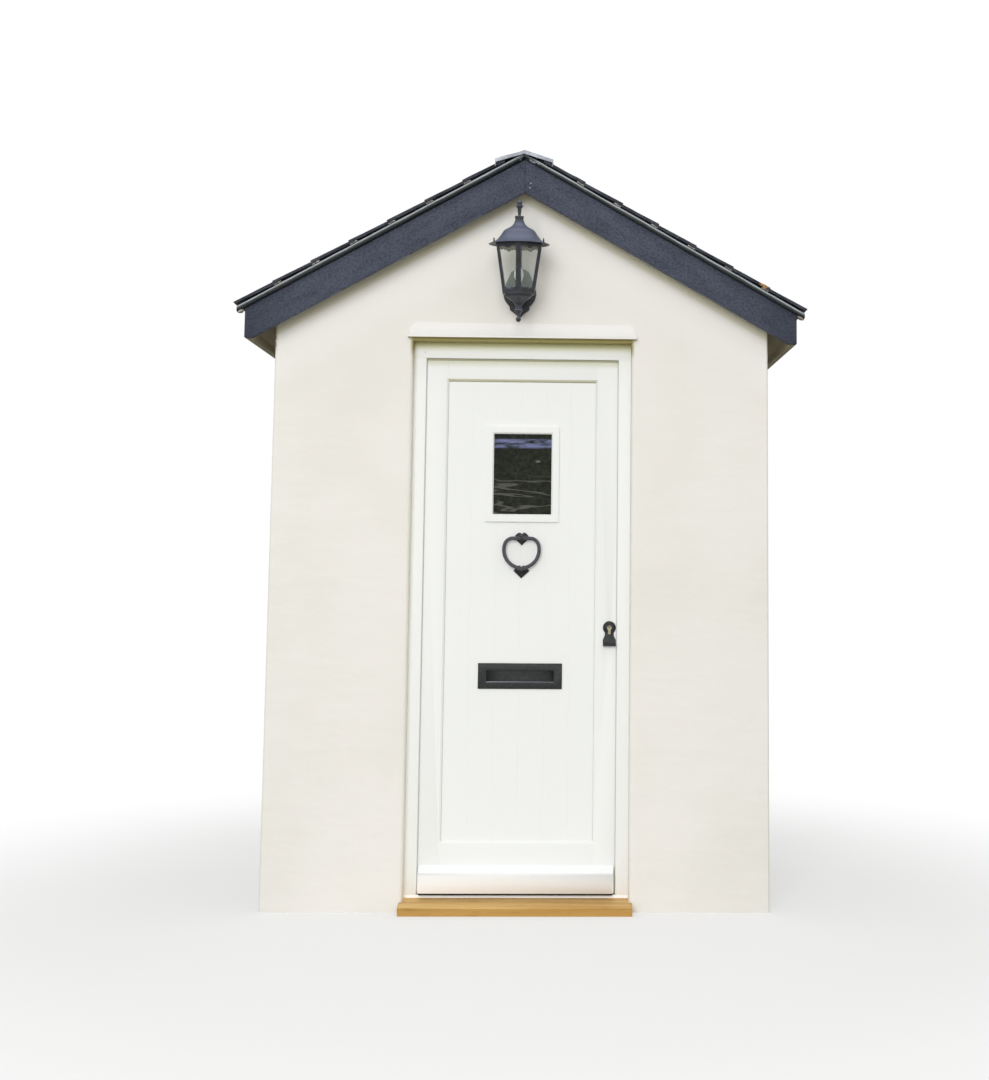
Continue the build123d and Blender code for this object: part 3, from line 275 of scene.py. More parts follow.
def chosen(*pieces):
    """Selects these pieces alone, and returns the first, which is made active."""
    bpy.ops.object.select_all(action="DESELECT")
    for piece in pieces:
        piece.select_set(True)
    bpy.context.view_layer.objects.active = pieces[0]
    return pieces[0]


def fixed(piece):
    """Puts the place, turn and scale of a piece into its mesh."""
    chosen(piece)
    bpy.ops.object.transform_apply(location=True, rotation=True, scale=True)
    return piece


def settle(piece, name, finish, body, slot, *nodes):
    """Ends a piece: its place, name, finish and body, and the CAD pieces that it stands for."""
    fixed(piece)
    piece.name = name
    piece.data.materials.clear()
    piece.data.materials.append(finish.material)
    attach(piece, body)
    if nodes:
        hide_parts(*nodes)


def worked_copy(node):
    """A merged copy of a CAD piece, to be worked further."""
    piece = bpy.data.objects.new(node + "_worked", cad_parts[node].data.copy())
    bpy.context.scene.collection.objects.link(piece)
    with shaping(piece):
        bpy.ops.mesh.remove_doubles(threshold=0.00001)
    return piece


def pick(piece, kind, test):
    """In edit mode, selects only the vertices, edges or faces whose middle passes a test."""
    bpy.ops.mesh.select_mode(type={"verts": "VERT", "edges": "EDGE", "faces": "FACE"}[kind])
    bpy.ops.mesh.select_all(action="DESELECT")
    shape = bmesh.from_edit_mesh(piece.data)
    for part in getattr(shape, kind):
        corners = [part] if kind == "verts" else part.verts
        part.select_set(test(sum((corner.co for corner in corners), Vector()) / len(corners)))
    shape.select_flush_mode()
    bmesh.update_edit_mesh(piece.data)


def smooth(piece, angle=35):
    """Shades a piece smooth, apart from edges sharper than the angle."""
    chosen(piece)
    bpy.ops.object.shade_smooth_by_angle(angle=radians(angle))


def eased(finish, body, slot, *nodes):
    """Smooth-shaded copies that stand for CAD pieces with rounded faces."""
    for node in nodes:
        piece = worked_copy(node)
        smooth(piece)
        settle(piece, node + "_eased", finish, body, slot, node)


bell_cast = Finish("drip_paint", Roughness=0.85, Specular_IOR_Level=0.3)
DRIP_CREAM = paint(240, 238, 234)
DRIP_UNDERSIDE_SHADE = paint(156, 146, 90)
# Painted shade on the faces that point down.
underside_shade = bell_cast.upward.fall(-0.9, -0.4) * bell_cast.y.fall(-0.001, 0.0)
bell_cast.use(
    Base_Color=bell_cast.mix(DRIP_CREAM, DRIP_UNDERSIDE_SHADE, underside_shade),
    Normal=bell_cast.bump(bell_cast.noise(150, 3, 0.6), 0.0006),
)
eased(bell_cast, "porch", "wall_render", "drip_moulding")


# Door frame, sill and leaf. Softwood joinery, rebated and bevelled, sprayed in a satin off-white paint.
# The leaf is framed up round an upright boarded panel, with hairline joints and sanded arrises. Shade
# under the frame head, on the top rail and in the panel's bevels and edge lines is painted into the
# colour.
def modify(piece, kind, **settings):
    """Adds a modifier to a piece and applies it."""
    chosen(piece)
    modifier = piece.modifiers.new(kind.lower(), kind)
    for setting, value in settings.items():
        setattr(modifier, setting, value)
    bpy.ops.object.modifier_apply(modifier=modifier.name)


def soften(piece, width, segments=2, angle=40):
    """Rounds the arrises of a piece that are sharper than an angle."""
    limits = {"limit_method": "ANGLE", "angle_limit": radians(angle)}
    modify(piece, "BEVEL", width=width, segments=segments, **limits)


def sanded(finish, body, slot, softness, *nodes):
    """Copies of square-cut CAD pieces with their arrises taken off."""
    for node in nodes:
        piece = worked_copy(node)
        with shaping(piece):
            bpy.ops.mesh.dissolve_limited(angle_limit=radians(0.1))
        soften(piece, softness)
        smooth(piece)
        settle(piece, node + "_sanded", finish, body, slot, node)


joinery = Finish("satin_joinery_paint", Roughness=0.42, Specular_IOR_Level=0.3)
OFF_WHITE = paint(240, 241, 239)
OFF_WHITE_SHADE = paint(236, 238, 235)
FRAME_HEAD_SHADE = paint(196, 194, 150)
RAIL_SHADE = paint(198, 198, 168)
PLUG_GREY = paint(196, 196, 190)
PLUG_PLACE = (-0.375, 2.084)
BEVEL_SHADE_KHAKI = paint(214, 210, 184)
BEVEL_SHADOW_DARK = paint(150, 147, 118)
BEVEL_SHADE_GREY = paint(204, 205, 198)
ARRIS = 0.0007
FRAME_HEAD_SHADE_BAND = (0.004, 0.040)
RAIL_SHADE_BAND = (0.064, 0.100)
PLUG_EDGE = (0.0022, 0.0034)
LEAF_HEAD_BAND = (1.9, 1.92)
STOP_BAND = (-0.006, -0.003)
BELOW_FACE = (0.0006, 0.0012)
ABOVE_PANEL = (-0.0006, -0.0002)
DEEP_BEVEL = (-0.0042, -0.0038)
PANEL_FACE = (-0.0006, -0.0003)
PANEL_BACK = (0.005, 0.006)
SIDE_SHADE_LINE = (-0.0018, -0.0008)
HEAD_SHADOW_LINE = (-0.0028, -0.0018)
head_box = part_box("frame_head")
rail_low, rail_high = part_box("top_rail")
leaf_front = rail_low.y
panel_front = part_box("door_panel")[0].y
from_face = joinery.y - leaf_front
from_panel = joinery.y - panel_front
coat = joinery.mix(OFF_WHITE, OFF_WHITE_SHADE, joinery.noise(1.4, 2))
below_head = head_box[1].z - joinery.z
on_frame = from_face.fall(*STOP_BAND)
# Painted shade: green-tinted shade down the top of the frame head, under the drip.
coat = joinery.mix(coat, FRAME_HEAD_SHADE, below_head.fall(*FRAME_HEAD_SHADE_BAND) * on_frame)
# Painted shade: green-tinted shade fading down the top of the leaf, under the frame head.
coat = joinery.mix(coat, RAIL_SHADE, below_head.fall(*RAIL_SHADE_BAND) * (1 - on_frame) * 0.8)
from_plug = ((joinery.x - PLUG_PLACE[0]) ** 2 + (joinery.z - PLUG_PLACE[1]) ** 2) ** 0.5
coat = joinery.mix(coat, PLUG_GREY, from_plug.fall(*PLUG_EDGE) * on_frame)
brushed = joinery.noise(60, 2, where=joinery.stretched((1, 1, 0.03)))
# Painted shade in the panel's recess: grey on the deep bevels that do not face up, khaki on the head
# bevel.
recessed = from_face.rise(*BELOW_FACE) * from_panel.fall(*ABOVE_PANEL)
deep = recessed * from_panel.rise(*DEEP_BEVEL)
head_bevel_shade = joinery.upward.fall(-0.6, -0.3) * recessed * joinery.z.rise(*LEAF_HEAD_BAND)
coat = joinery.mix(coat, BEVEL_SHADE_GREY, deep * joinery.upward.fall(0.3, 0.6))
coat = joinery.mix(coat, BEVEL_SHADE_KHAKI, head_bevel_shade)
# Painted shadow lines on the panel's face along its edges: grey up the sides, dark under the top rail.
on_panel = from_panel.rise(*PANEL_FACE) * from_panel.fall(*PANEL_BACK)
side_shade_line = (abs(joinery.x) - rail_high.x).rise(*SIDE_SHADE_LINE) * on_panel
head_shadow_line = (joinery.z - rail_low.z).rise(*HEAD_SHADOW_LINE) * on_panel
coat = joinery.mix(coat, BEVEL_SHADE_GREY, side_shade_line)
coat = joinery.mix(coat, BEVEL_SHADOW_DARK, head_shadow_line)
joinery.use(Base_Color=coat, Normal=joinery.bump(brushed, 0.00006))
outer_frame = ("frame_head", "frame_jamb_left", "frame_jamb_right")
leaf_frame = ("hinge_stile", "lock_stile", "top_rail", "bottom_rail")
sanded(joinery, "porch", "white_joinery", ARRIS, *outer_frame)
sanded(joinery, "door", "white_joinery", ARRIS, *leaf_frame)
dress(joinery, "door_panel", "vision_beads")

# Painted light: the weatherboard is painted whiter towards its foot, and the sill whiter all over.
lit_paint = Finish("lit_joinery_paint", Roughness=0.42, Specular_IOR_Level=0.3)
LIT_WHITE = paint(254, 255, 255)
LESS_LIT_WHITE = paint(243, 245, 245)
LIT_FADE_BAND = (-0.08, -0.02)
weatherboard_low, weatherboard_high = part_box("weatherboard")
lit_paint.use(
    Base_Color=lit_paint.mix(LIT_WHITE, LESS_LIT_WHITE, (lit_paint.z - weatherboard_high.z).rise(*LIT_FADE_BAND)),
    Normal=lit_paint.bump(lit_paint.noise(60, 2, where=lit_paint.stretched((0.03, 1, 1))), 0.00006),
)
eased(lit_paint, "door", "white_joinery", "weatherboard")
sanded(lit_paint, "porch", "white_joinery", ARRIS, "door_sill")


# Weather seal. A slim rubber gasket let into the stop of the frame, which also stands in for the shade
# line round the leaf. Its colour is painted shade: grey up both sides, dark olive under the head and at
# the foot of the right side.
def bar(low, high, softness):
    """A bar between two corners, with rounded arrises."""
    low, high = Vector(low), Vector(high)
    bpy.ops.object.select_all(action="DESELECT")
    bpy.ops.mesh.primitive_cube_add(size=1, location=(low + high) / 2, scale=high - low)
    piece = bpy.context.object
    bpy.ops.object.transform_apply(location=True, rotation=False, scale=True)
    with shaping(piece):
        bpy.ops.mesh.bevel(offset=softness, segments=2, affect="EDGES")
    return piece


def joined(*pieces):
    """Makes one piece of several."""
    chosen(*pieces)
    bpy.ops.object.join()
    return pieces[0]


gasket = Finish("shaded_gasket", Roughness=0.7)
GASKET_GREY = paint(206, 206, 204)
GASKET_SHADE_OLIVE = paint(166, 165, 138)
GASKET_HEAD = 0.007
GASKET_SIDE = 0.003
GASKET_DEPTH = 0.0022
GASKET_SOFTNESS = 0.0008
HEAD_SHADE_REACH = (0.008, 0.02)
FOOT_SHADE_BAND = (0.150, 0.156)
LEAF_CLEARANCE = 0.0006
stop_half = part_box("frame_jamb_right")[0].x
stop_top = head_box[0].z
gasket_back = leaf_front - LEAF_CLEARANCE
gasket_front = gasket_back - GASKET_DEPTH
gasket_top = stop_top - GASKET_HEAD
gasket_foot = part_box("frame_jamb_right")[0].z
# Painted shade: olive at the foot of the right side and under the head.
foot_shade = gasket.z.fall(*FOOT_SHADE_BAND) * gasket.x.rise(0, 0.1)
gasket_shade = (stop_top - gasket.z).fall(*HEAD_SHADE_REACH).larger(foot_shade)
gasket.use(
    Base_Color=gasket.mix(GASKET_GREY, GASKET_SHADE_OLIVE, gasket_shade),
    Normal=gasket.bump(gasket.noise(400, 2), 0.0002),
)
gasket_runs = [((-stop_half, gasket_front, gasket_top), (stop_half, gasket_back, stop_top))]
for side in (-1, 1):
    inner, outer = sorted((side * (stop_half - GASKET_SIDE), side * stop_half))
    gasket_runs.append(((inner, gasket_front, gasket_foot), (outer, gasket_back, gasket_top)))
gaskets = [bar(low, high, GASKET_SOFTNESS) for low, high in gasket_runs]
settle(joined(*gaskets), "door_gasket", gasket, "porch", "white_joinery")

rubber = Finish("black_rubber", Roughness=0.8, Specular_IOR_Level=0.2)
rubber.use(
    Base_Color=rubber.mix(paint(34, 34, 34), paint(52, 51, 48), rubber.noise(120, 3)),
    Normal=rubber.bump(rubber.noise(500, 2), 0.0002),
)
# A black rubber seal under the weatherboard, whose black also stands for the shadow gap beneath it.
SEAL_END = 0.003
SEAL_SETBACK = 0.004
SEAL_DROP = 0.0075
SEAL_SEAT = 0.0002
SEAL_SOFTNESS = 0.001
seal_low = weatherboard_low + Vector((SEAL_END, SEAL_SETBACK, -SEAL_DROP))
seal_top = weatherboard_low.z - SEAL_SEAT
seal_high = (weatherboard_high.x - SEAL_END, leaf_front - LEAF_CLEARANCE, seal_top)
drip_seal = bar(seal_low, seal_high, SEAL_SOFTNESS)
settle(drip_seal, "weatherboard_seal", rubber, "door", "white_joinery")


# Vision panel. A sealed unit of slightly wavy glass with a dark room behind it. A lilac strip of sky
# along its top, pale smears lower down and a small glint are painted reflections in its colour.
pane = Finish("dark_glass", Roughness=0.05, Specular_IOR_Level=0.2)
GLASS_DARK = paint(36, 42, 26)
GLASS_DEEP = paint(14, 18, 10)
SKY_REFLECTION_LILAC = paint(108, 114, 150)
SMEAR_REFLECTION = paint(104, 102, 94)
GLINT_PLACE = (0.0625, 1.669)
GLINT_EDGE = (0.004, 0.007)
GLINT_SQUASH = 0.6
BEAD_LAP = 0.0095
SKY_REFLECTION_START = (0.018, 0.026)
SKY_REFLECTION_END = (0.050, 0.060)
SMEAR_REFLECTIONS_START = (0.14, 0.20)
sight_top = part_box("vision_glass")[1].z - BEAD_LAP
below_top = sight_top - pane.z
ripple = pane.noise(30, 3, 0.6, where=pane.stretched((0.4, 1, 2.6)), warp=0.6)
# Painted reflection: a lilac strip of sky along the top of the glass.
strip = below_top.rise(*SKY_REFLECTION_START) * below_top.fall(*SKY_REFLECTION_END) * ripple.rise(0.34, 0.58)
swirl = pane.noise(9, 2, 0.5, where=pane.stretched((0.4, 1, 2.4)), warp=0.35)
smear_reflections = swirl.line(0.5, 0.03) * below_top.rise(*SMEAR_REFLECTIONS_START)
depths = pane.mix(GLASS_DARK, GLASS_DEEP, pane.noise(60, 4, 0.7).rise(0.35, 0.6))
depths = pane.mix(depths, SMEAR_REFLECTION, smear_reflections * 0.55)
# Painted glint: a small pale reflection on the glass.
from_glint = (((pane.x - GLINT_PLACE[0]) * GLINT_SQUASH) ** 2 + (pane.z - GLINT_PLACE[1]) ** 2) ** 0.5
depths = pane.mix(depths, SMEAR_REFLECTION, from_glint.fall(*GLINT_EDGE) * ripple.rise(0.3, 0.5))
pane.use(
    Base_Color=pane.mix(depths, SKY_REFLECTION_LILAC, strip),
    Normal=pane.bump(pane.noise(9, 1, where=pane.stretched((1, 1, 2.5))), 0.0012),
)
dress(pane, "vision_glass")


# Oak threshold. One plank of oiled oak, its grain running across the doorway, paler on its top face and
# darker on the faces that do not face up.
oak = Finish("oiled_oak", Roughness=0.55, Specular_IOR_Level=0.3)
OAK_PALE = paint(228, 188, 118)
OAK_DEEP = paint(206, 160, 92)
OAK_FRONT = paint(176, 134, 66)
OAK_PORE = paint(140, 98, 48)
rings = oak.noise(26, 5, 0.6, where=oak.stretched((0.05, 1, 1.4)), warp=0.6)
pores = oak.noise(420, 2, where=oak.stretched((0.04, 1, 1)))
grain = oak.mix(OAK_PALE, OAK_DEEP, rings.rise(0.38, 0.66))
# The faces that do not face up are coloured darker than the top.
grain = oak.mix(grain, OAK_FRONT, oak.upward.fall(0.3, 0.8) * 0.75)
oak.use(
    Base_Color=oak.mix(grain, OAK_PORE, pores.rise(0.58, 0.75) * 0.6),
    Normal=oak.bump(rings * 0.6 + pores * 0.4, 0.0006),
)
eased(oak, "porch", "oak", "oak_threshold")


# Letterplate, knocker and cylinder pull. Cast iron in a satin black finish with a fine sandy tooth,
# rubbed paler in patches, with a painted highlight along the bottom edge of the letter slot.
iron = Finish("black_iron", Roughness=0.4, Specular_IOR_Level=0.45)
IRON_BLACK = paint(44, 46, 46)
IRON_RUBBED = paint(54, 56, 56)
IRON_HIGHLIGHT = paint(176, 180, 196)
SLOT_BOTTOM = 0.832
SLOT_ENDS = (-0.123, 0.131)
LIP_FOOT = (-0.0026, -0.0022)
LIP_TOP = (0, 0.0004)
LIP_FRONT = (-0.0001, 0.0002)
LIP_FADE = 0.0005
plate_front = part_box("letterplate")[0].y
above_slot = iron.z - SLOT_BOTTOM
# Painted highlight: the upward-facing bottom edge of the letter slot is painted bright.
lip_highlight = above_slot.rise(*LIP_FOOT) * above_slot.fall(*LIP_TOP) * iron.upward.rise(0.2, 0.5)
lip_highlight = lip_highlight * (iron.y - plate_front).rise(*LIP_FRONT)
lip_highlight = lip_highlight * iron.x.rise(SLOT_ENDS[0] - LIP_FADE, SLOT_ENDS[0])
lip_highlight = lip_highlight * iron.x.fall(SLOT_ENDS[1], SLOT_ENDS[1] + LIP_FADE)
black = iron.mix(IRON_BLACK, IRON_RUBBED, iron.noise(90, 3).rise(0.4, 0.7))
iron.use(
    Base_Color=iron.mix(black, IRON_HIGHLIGHT, lip_highlight),
    Normal=iron.bump(iron.noise(700, 3), 0.0002),
)
dress(iron, "letterplate_inside")
eased(iron, "door", "black_iron", "letterplate", "knocker_plates", "cylinder_pull")
eased(iron, "letter_flap", "black_iron", "letter_flap")

ring_iron = Finish("handled_iron", Roughness=0.34, Specular_IOR_Level=0.6)
RING_PLUM = paint(74, 70, 80)
RING_DARK = paint(56, 53, 60)
ring_iron.use(
    Base_Color=ring_iron.mix(RING_PLUM, RING_DARK, ring_iron.noise(70, 3).rise(0.4, 0.7)),
    Normal=ring_iron.bump(ring_iron.noise(600, 2), 0.00015),
)
eased(ring_iron, "knocker", "black_iron", "knocker_ring")


# Lock cylinder and hinges. A nickel-plated brass cylinder with a keyway, and zinc-plated steel butts.
nickel = Finish("nickel_plate", Roughness=0.3, Metallic=1.0)
nickel.use(Base_Color=nickel.mix(paint(222, 214, 188), paint(196, 186, 156), nickel.noise(200, 2)))
eased(nickel, "door", "lock_brass", "lock_cylinder")
zinc = Finish("zinc_plate", Roughness=0.38, Metallic=1.0)
zinc.use(Base_Color=zinc.mix(paint(190, 192, 194), paint(168, 170, 172), zinc.noise(120, 3)))
eased(zinc, "door", "hinge_steel", "hinges_door")
eased(zinc, "porch", "hinge_steel", "hinges_frame")


# Bargeboards and fascias. Sawn softwood planks in a weathered slate-blue paint, nailed to the verge and
# butted at the apex, where the joint has opened and the left board has split.
barge = Finish("slate_blue_paint", Roughness=0.6, Specular_IOR_Level=0.3)
BARGE_BLUE = paint(79, 84, 98)
BARGE_DARK = paint(45, 49, 62)
BARGE_PALE = paint(118, 124, 140)
SOFFIT_BROWN = paint(150, 142, 118)
CRACK_BLACK = paint(24, 24, 28)
CRACK_FOOT = (0.0036, 2.742)
CRACK_HEAD = (-0.0227, 2.7911)
CRACK_WIDTH = 0.0011
CRACK_WANDER = 0.006
WORN_EDGE = (0.0005, 0.002)
LINED_FACE = (0.0008, 0.0012)
FRONT_FACE = (-0.119, -0.118)
BEHIND_BOARD = (-0.0945, -0.0935)
FOOT_BAND = (0.95, 1.15)
up_board = (barge.z - (barge_apex - abs(barge.x) * tan(PITCH))) * cos(PITCH)
down_board = abs(barge.x) / cos(PITCH)
board = barge.x > 0
sawn = barge.noise(1.0, 4, 0.7, where=barge.at(down_board * 90, board * 9, up_board * 210), warp=0.35)
weather = barge.noise(1.0, 4, 0.6, where=barge.at(down_board * 7, board * 5, up_board * 26))
flecks = barge.noise(1.0, 2, 0.6, where=barge.at(down_board * 60, board * 3, up_board * 420))
flecks = flecks.rise(0.56, 0.66)
tone = barge.mix(BARGE_BLUE, BARGE_DARK, weather.rise(0.35, 0.7) * 0.35 + sawn.rise(0.45, 0.58) * 0.6)
tone = barge.mix(tone, BARGE_DARK, down_board.rise(*FOOT_BAND) * 0.45)
tone = barge.mix(tone, BARGE_PALE, flecks * sawn.rise(0.45, 0.6) * 0.6)
worn_edge = up_board.fall(*WORN_EDGE) * weather.rise(0.5, 0.6)
tone = barge.mix(tone, BARGE_PALE, worn_edge * 0.4)
crack_lean = (CRACK_HEAD[0] - CRACK_FOOT[0]) / (CRACK_HEAD[1] - CRACK_FOOT[1])
crack_line = (barge.z - CRACK_FOOT[1]) * crack_lean + CRACK_FOOT[0]
crack_line = crack_line + (barge.noise(60, 2) - 0.5) * CRACK_WANDER
crack = (barge.x - crack_line).line(0, CRACK_WIDTH) * barge.y.fall(*FRONT_FACE)
crack = crack * barge.z.rise(CRACK_FOOT[1] - 0.001, CRACK_FOOT[1])
crack = crack * barge.z.fall(CRACK_HEAD[1], CRACK_HEAD[1] + 0.002)
normal = barge.bump(sawn, 0.0012)
normal = barge.bump(1 - crack, 0.0015, normal)
tone = barge.mix(tone, CRACK_BLACK, crack)
fascia_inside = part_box("soffit_right")[1].x
inner_face = (abs(barge.x) - fascia_inside).fall(*LINED_FACE)
lining = inner_face.larger(barge.upward.fall(-0.95, -0.8)) * barge.y.rise(*BEHIND_BOARD)
barge.use(Base_Color=barge.mix(tone, SOFFIT_BROWN, lining), Normal=normal)

JOINT_SHIFT = 0.0042
BARGE_ARRIS = 0.0016
FASCIA_ARRIS = 0.001
for word in ("left", "right"):
    board_piece = worked_copy(f"bargeboard_{word}")
    with shaping(board_piece):
        bpy.ops.mesh.dissolve_limited(angle_limit=radians(0.1))
        pick(board_piece, "verts", lambda place: abs(place.x) < 0.001)
        bpy.ops.transform.translate(value=(JOINT_SHIFT, 0, 0))
    soften(board_piece, BARGE_ARRIS)
    smooth(board_piece)
    board_name = f"bargeboard_{word}"
    settle(board_piece, board_name + "_planed", barge, "porch", "barge_paint", board_name)
sanded(barge, "porch", "barge_paint", FASCIA_ARRIS, "fascias")

NAIL_RADIUS = 0.0026
NAIL_PROUD = 0.0008
NAIL_PLACES = ((0.0252, 2.708), (0.0228, 2.6906))
barge_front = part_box("bargeboard_left")[0].y
nails = []
for x, z in NAIL_PLACES:
    bpy.ops.object.select_all(action="DESELECT")
    bpy.ops.mesh.primitive_cylinder_add(
        vertices=14,
        radius=NAIL_RADIUS,
        depth=2 * NAIL_PROUD,
        location=(x, barge_front, z),
        rotation=(pi / 2, 0, 0),
    )
    nail = bpy.context.object
    with shaping(nail):
        bpy.ops.mesh.bevel(offset=NAIL_PROUD * 0.6, segments=2, affect="EDGES")
    smooth(nail, 60)
    nails.append(nail)
filler = Finish("nail_filler", Roughness=0.7)
filler.use(Base_Color=filler.mix(paint(186, 188, 190), paint(150, 152, 156), filler.noise(300, 2)))
settle(joined(*nails), "barge_nails", filler, "porch", "barge_paint")


# Soffits and roof timbers. Stained boards under the overhang, and bare sawn softwood inside.
stain = Finish("stained_soffit", Roughness=0.7)
STAIN_BROWN = paint(150, 142, 118)
STAIN_DARK = paint(126, 118, 94)
streaks = stain.noise(24, 4, where=stain.stretched((1, 0.1, 1)))
stain.use(
    Base_Color=stain.mix(STAIN_BROWN, STAIN_DARK, streaks),
    Normal=stain.bump(stain.noise(80, 3, where=stain.stretched((1, 0.08, 1))), 0.0006),
)
dress(stain, "soffit_left", "soffit_right")
timber = Finish("sawn_softwood", Roughness=0.75)
knots = timber.noise(28, 5, 0.6)
timber.use(
    Base_Color=timber.mix(paint(206, 172, 124), paint(178, 140, 92), knots),
    Normal=timber.bump(timber.noise(110, 3), 0.0006),
)
dress(timber, "rafters", "wall_plates", "ridge_board", "roof_deck", "battens")


# Verge. A round-nosed run of cement on each bargeboard, grey-green with weather and never quite
# straight, with pale mortar packed under the tail of each slate and a clot of it at each foot.
def on_slope(side, origin):
    """The place of a piece on one slope: X along the eaves, Y up the slope and Z square to it."""
    run = cos(PITCH)
    rise = sin(PITCH)
    turn = Matrix(((0, -side * run, side * rise), (side, 0, 0), (0, rise, run)))
    return Matrix.Translation(origin) @ turn.to_4x4()


def uneven(piece, strength, size, name):
    """Makes a worked surface uneven by soft clouds of a size."""
    clouds = bpy.data.textures.new(name, "CLOUDS")
    clouds.noise_scale = size
    modify(piece, "DISPLACE", texture=clouds, strength=strength, mid_level=0.5, texture_coords="LOCAL")


SIDES = ((-1, "left"), (1, "right"))
verge = Finish("weathered_verge", Roughness=0.42, Specular_IOR_Level=0.6)
VERGE_GREEN = paint(68, 73, 71)
VERGE_DARK_AND_SHADE = paint(36, 39, 42)
VERGE_HIGHLIGHT = paint(194, 201, 208)
blotches = verge.noise(24, 4, 0.6)
crust = verge.mix(VERGE_GREEN, VERGE_DARK_AND_SHADE, blotches.rise(0.42, 0.66) * 0.6)
# Painted highlight along the upper part of the nose, and painted shade on the faces that point down.
nose_highlight = verge.upward.rise(-0.05, 0.2) * verge.upward.fall(0.4, 0.6)
crust = verge.mix(crust, VERGE_HIGHLIGHT, nose_highlight * 0.9)
crust = verge.mix(crust, VERGE_DARK_AND_SHADE, verge.upward.fall(-0.5, 0.0) * 0.95)
verge.use(Base_Color=crust, Normal=verge.bump(verge.noise(150, 4, 0.6), 0.0005))
STRIP_STEP = 0.015
STRIP_WAVE = 0.003
STRIP_CLOUD = 0.06
strip_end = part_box("verge_strip_right")[1].x
for side, word in SIDES:
    strip_piece = worked_copy(f"verge_strip_{word}")
    with shaping(strip_piece):
        for i in range(1, int(strip_end / STRIP_STEP)):
            bpy.ops.mesh.select_all(action="SELECT")
            bpy.ops.mesh.bisect(plane_co=(side * STRIP_STEP * i, 0, 0), plane_no=(1, 0, 0))
    uneven(strip_piece, STRIP_WAVE, STRIP_CLOUD, f"hand_run_{word}")
    smooth(strip_piece, 40)
    settle(strip_piece, f"verge_run_{word}", verge, "porch", "verge_mortar", f"verge_strip_{word}")

mortar = Finish("pale_mortar", Roughness=0.9, Specular_IOR_Level=0.3)
MORTAR_PALE = paint(198, 195, 186)
MORTAR_PINK = paint(170, 162, 151)
mortar.use(
    Base_Color=mortar.mix(MORTAR_PALE, MORTAR_PINK, mortar.noise(30, 4).rise(0.42, 0.62)),
    Normal=mortar.bump(mortar.noise(260, 3, 0.6), 0.0008),
)
COURSES = 7
SLATE_THICKNESS = 0.0048
SLATE_LENGTH = 0.340
SLATE_GAUGE = 0.160
TAIL_RISE = 0.0102
SLATE_FRONT = -0.150
SLATE_BACK = 0.900
RIDGE_GAP = 0.084
EAVES_X = 1.0700
BED_HEIGHT = 0.130
MORTAR_SETBACK = 0.0035
MORTAR_DEPTH = 0.04
MORTAR_RUN = 0.03
MORTAR_SUNK = 0.001
MORTAR_FACE = 0.02
MORTAR_SOFTNESS = 0.0004
MORTAR_ROUGHNESS = 0.0012
CLOT_X = 1.046
CLOT_Y = -0.118
CLOT_SUNK = 0.0035
CLOT_SIZE = (0.013, 0.018, 0.0045)
CLOT_WAVE = 0.006
CLOT_GRAIN = 0.014
mortar_front = SLATE_FRONT + MORTAR_SETBACK
bed_ridge = Vector((0, 0, barge_apex + BED_HEIGHT / cos(PITCH)))
first_tail = (EAVES_X - (TAIL_RISE + SLATE_THICKNESS) * sin(PITCH)) / cos(PITCH)
slate_tilt = TAIL_RISE / SLATE_LENGTH
tails = [first_tail - SLATE_GAUGE * i for i in range(COURSES)]
under_tail = TAIL_RISE - SLATE_THICKNESS
for side, word in SIDES:
    packing = []
    for number, tail in enumerate(tails[1:]):
        ends = sorted((side * mortar_front, side * (mortar_front + MORTAR_DEPTH)))
        lump_low = (ends[0], -tail + MORTAR_SUNK, -MORTAR_SUNK)
        lump = bar(lump_low, (ends[1], -tail + MORTAR_RUN, under_tail), MORTAR_SOFTNESS)
        with shaping(lump):
            pick(lump, "verts", lambda place: place.y > -tail + MORTAR_RUN / 2 and place.z > 0)
            bpy.ops.transform.translate(value=(0, 0, -under_tail * 0.8))
            bpy.ops.mesh.select_all(action="SELECT")
            bpy.ops.mesh.subdivide(number_cuts=5)
            pick(lump, "verts", lambda place: abs(place.x) > abs(SLATE_FRONT) - MORTAR_FACE)
            bpy.ops.transform.vertex_random(offset=MORTAR_ROUGHNESS, seed=number + 20 * (side > 0))
        packing.append(lump)
    clot_z = barge_apex - CLOT_X * tan(PITCH) + BARGE_DEPTH / cos(PITCH) - CLOT_SUNK
    foot = (side * CLOT_X, CLOT_Y, clot_z)
    bpy.ops.object.select_all(action="DESELECT")
    bpy.ops.mesh.primitive_uv_sphere_add(segments=16, ring_count=10, radius=1, location=foot)
    clot = bpy.context.object
    clot.scale = CLOT_SIZE
    clot.rotation_euler = (0, side * PITCH, 0)
    fixed(clot)
    uneven(clot, CLOT_WAVE, CLOT_GRAIN, f"clot_{word}")
    laid = joined(*packing)
    laid.matrix_world = on_slope(side, bed_ridge)
    laid = joined(fixed(laid), clot)
    smooth(laid, 60)
    settle(laid, f"verge_mortar_{word}", mortar, "porch", "verge_mortar")


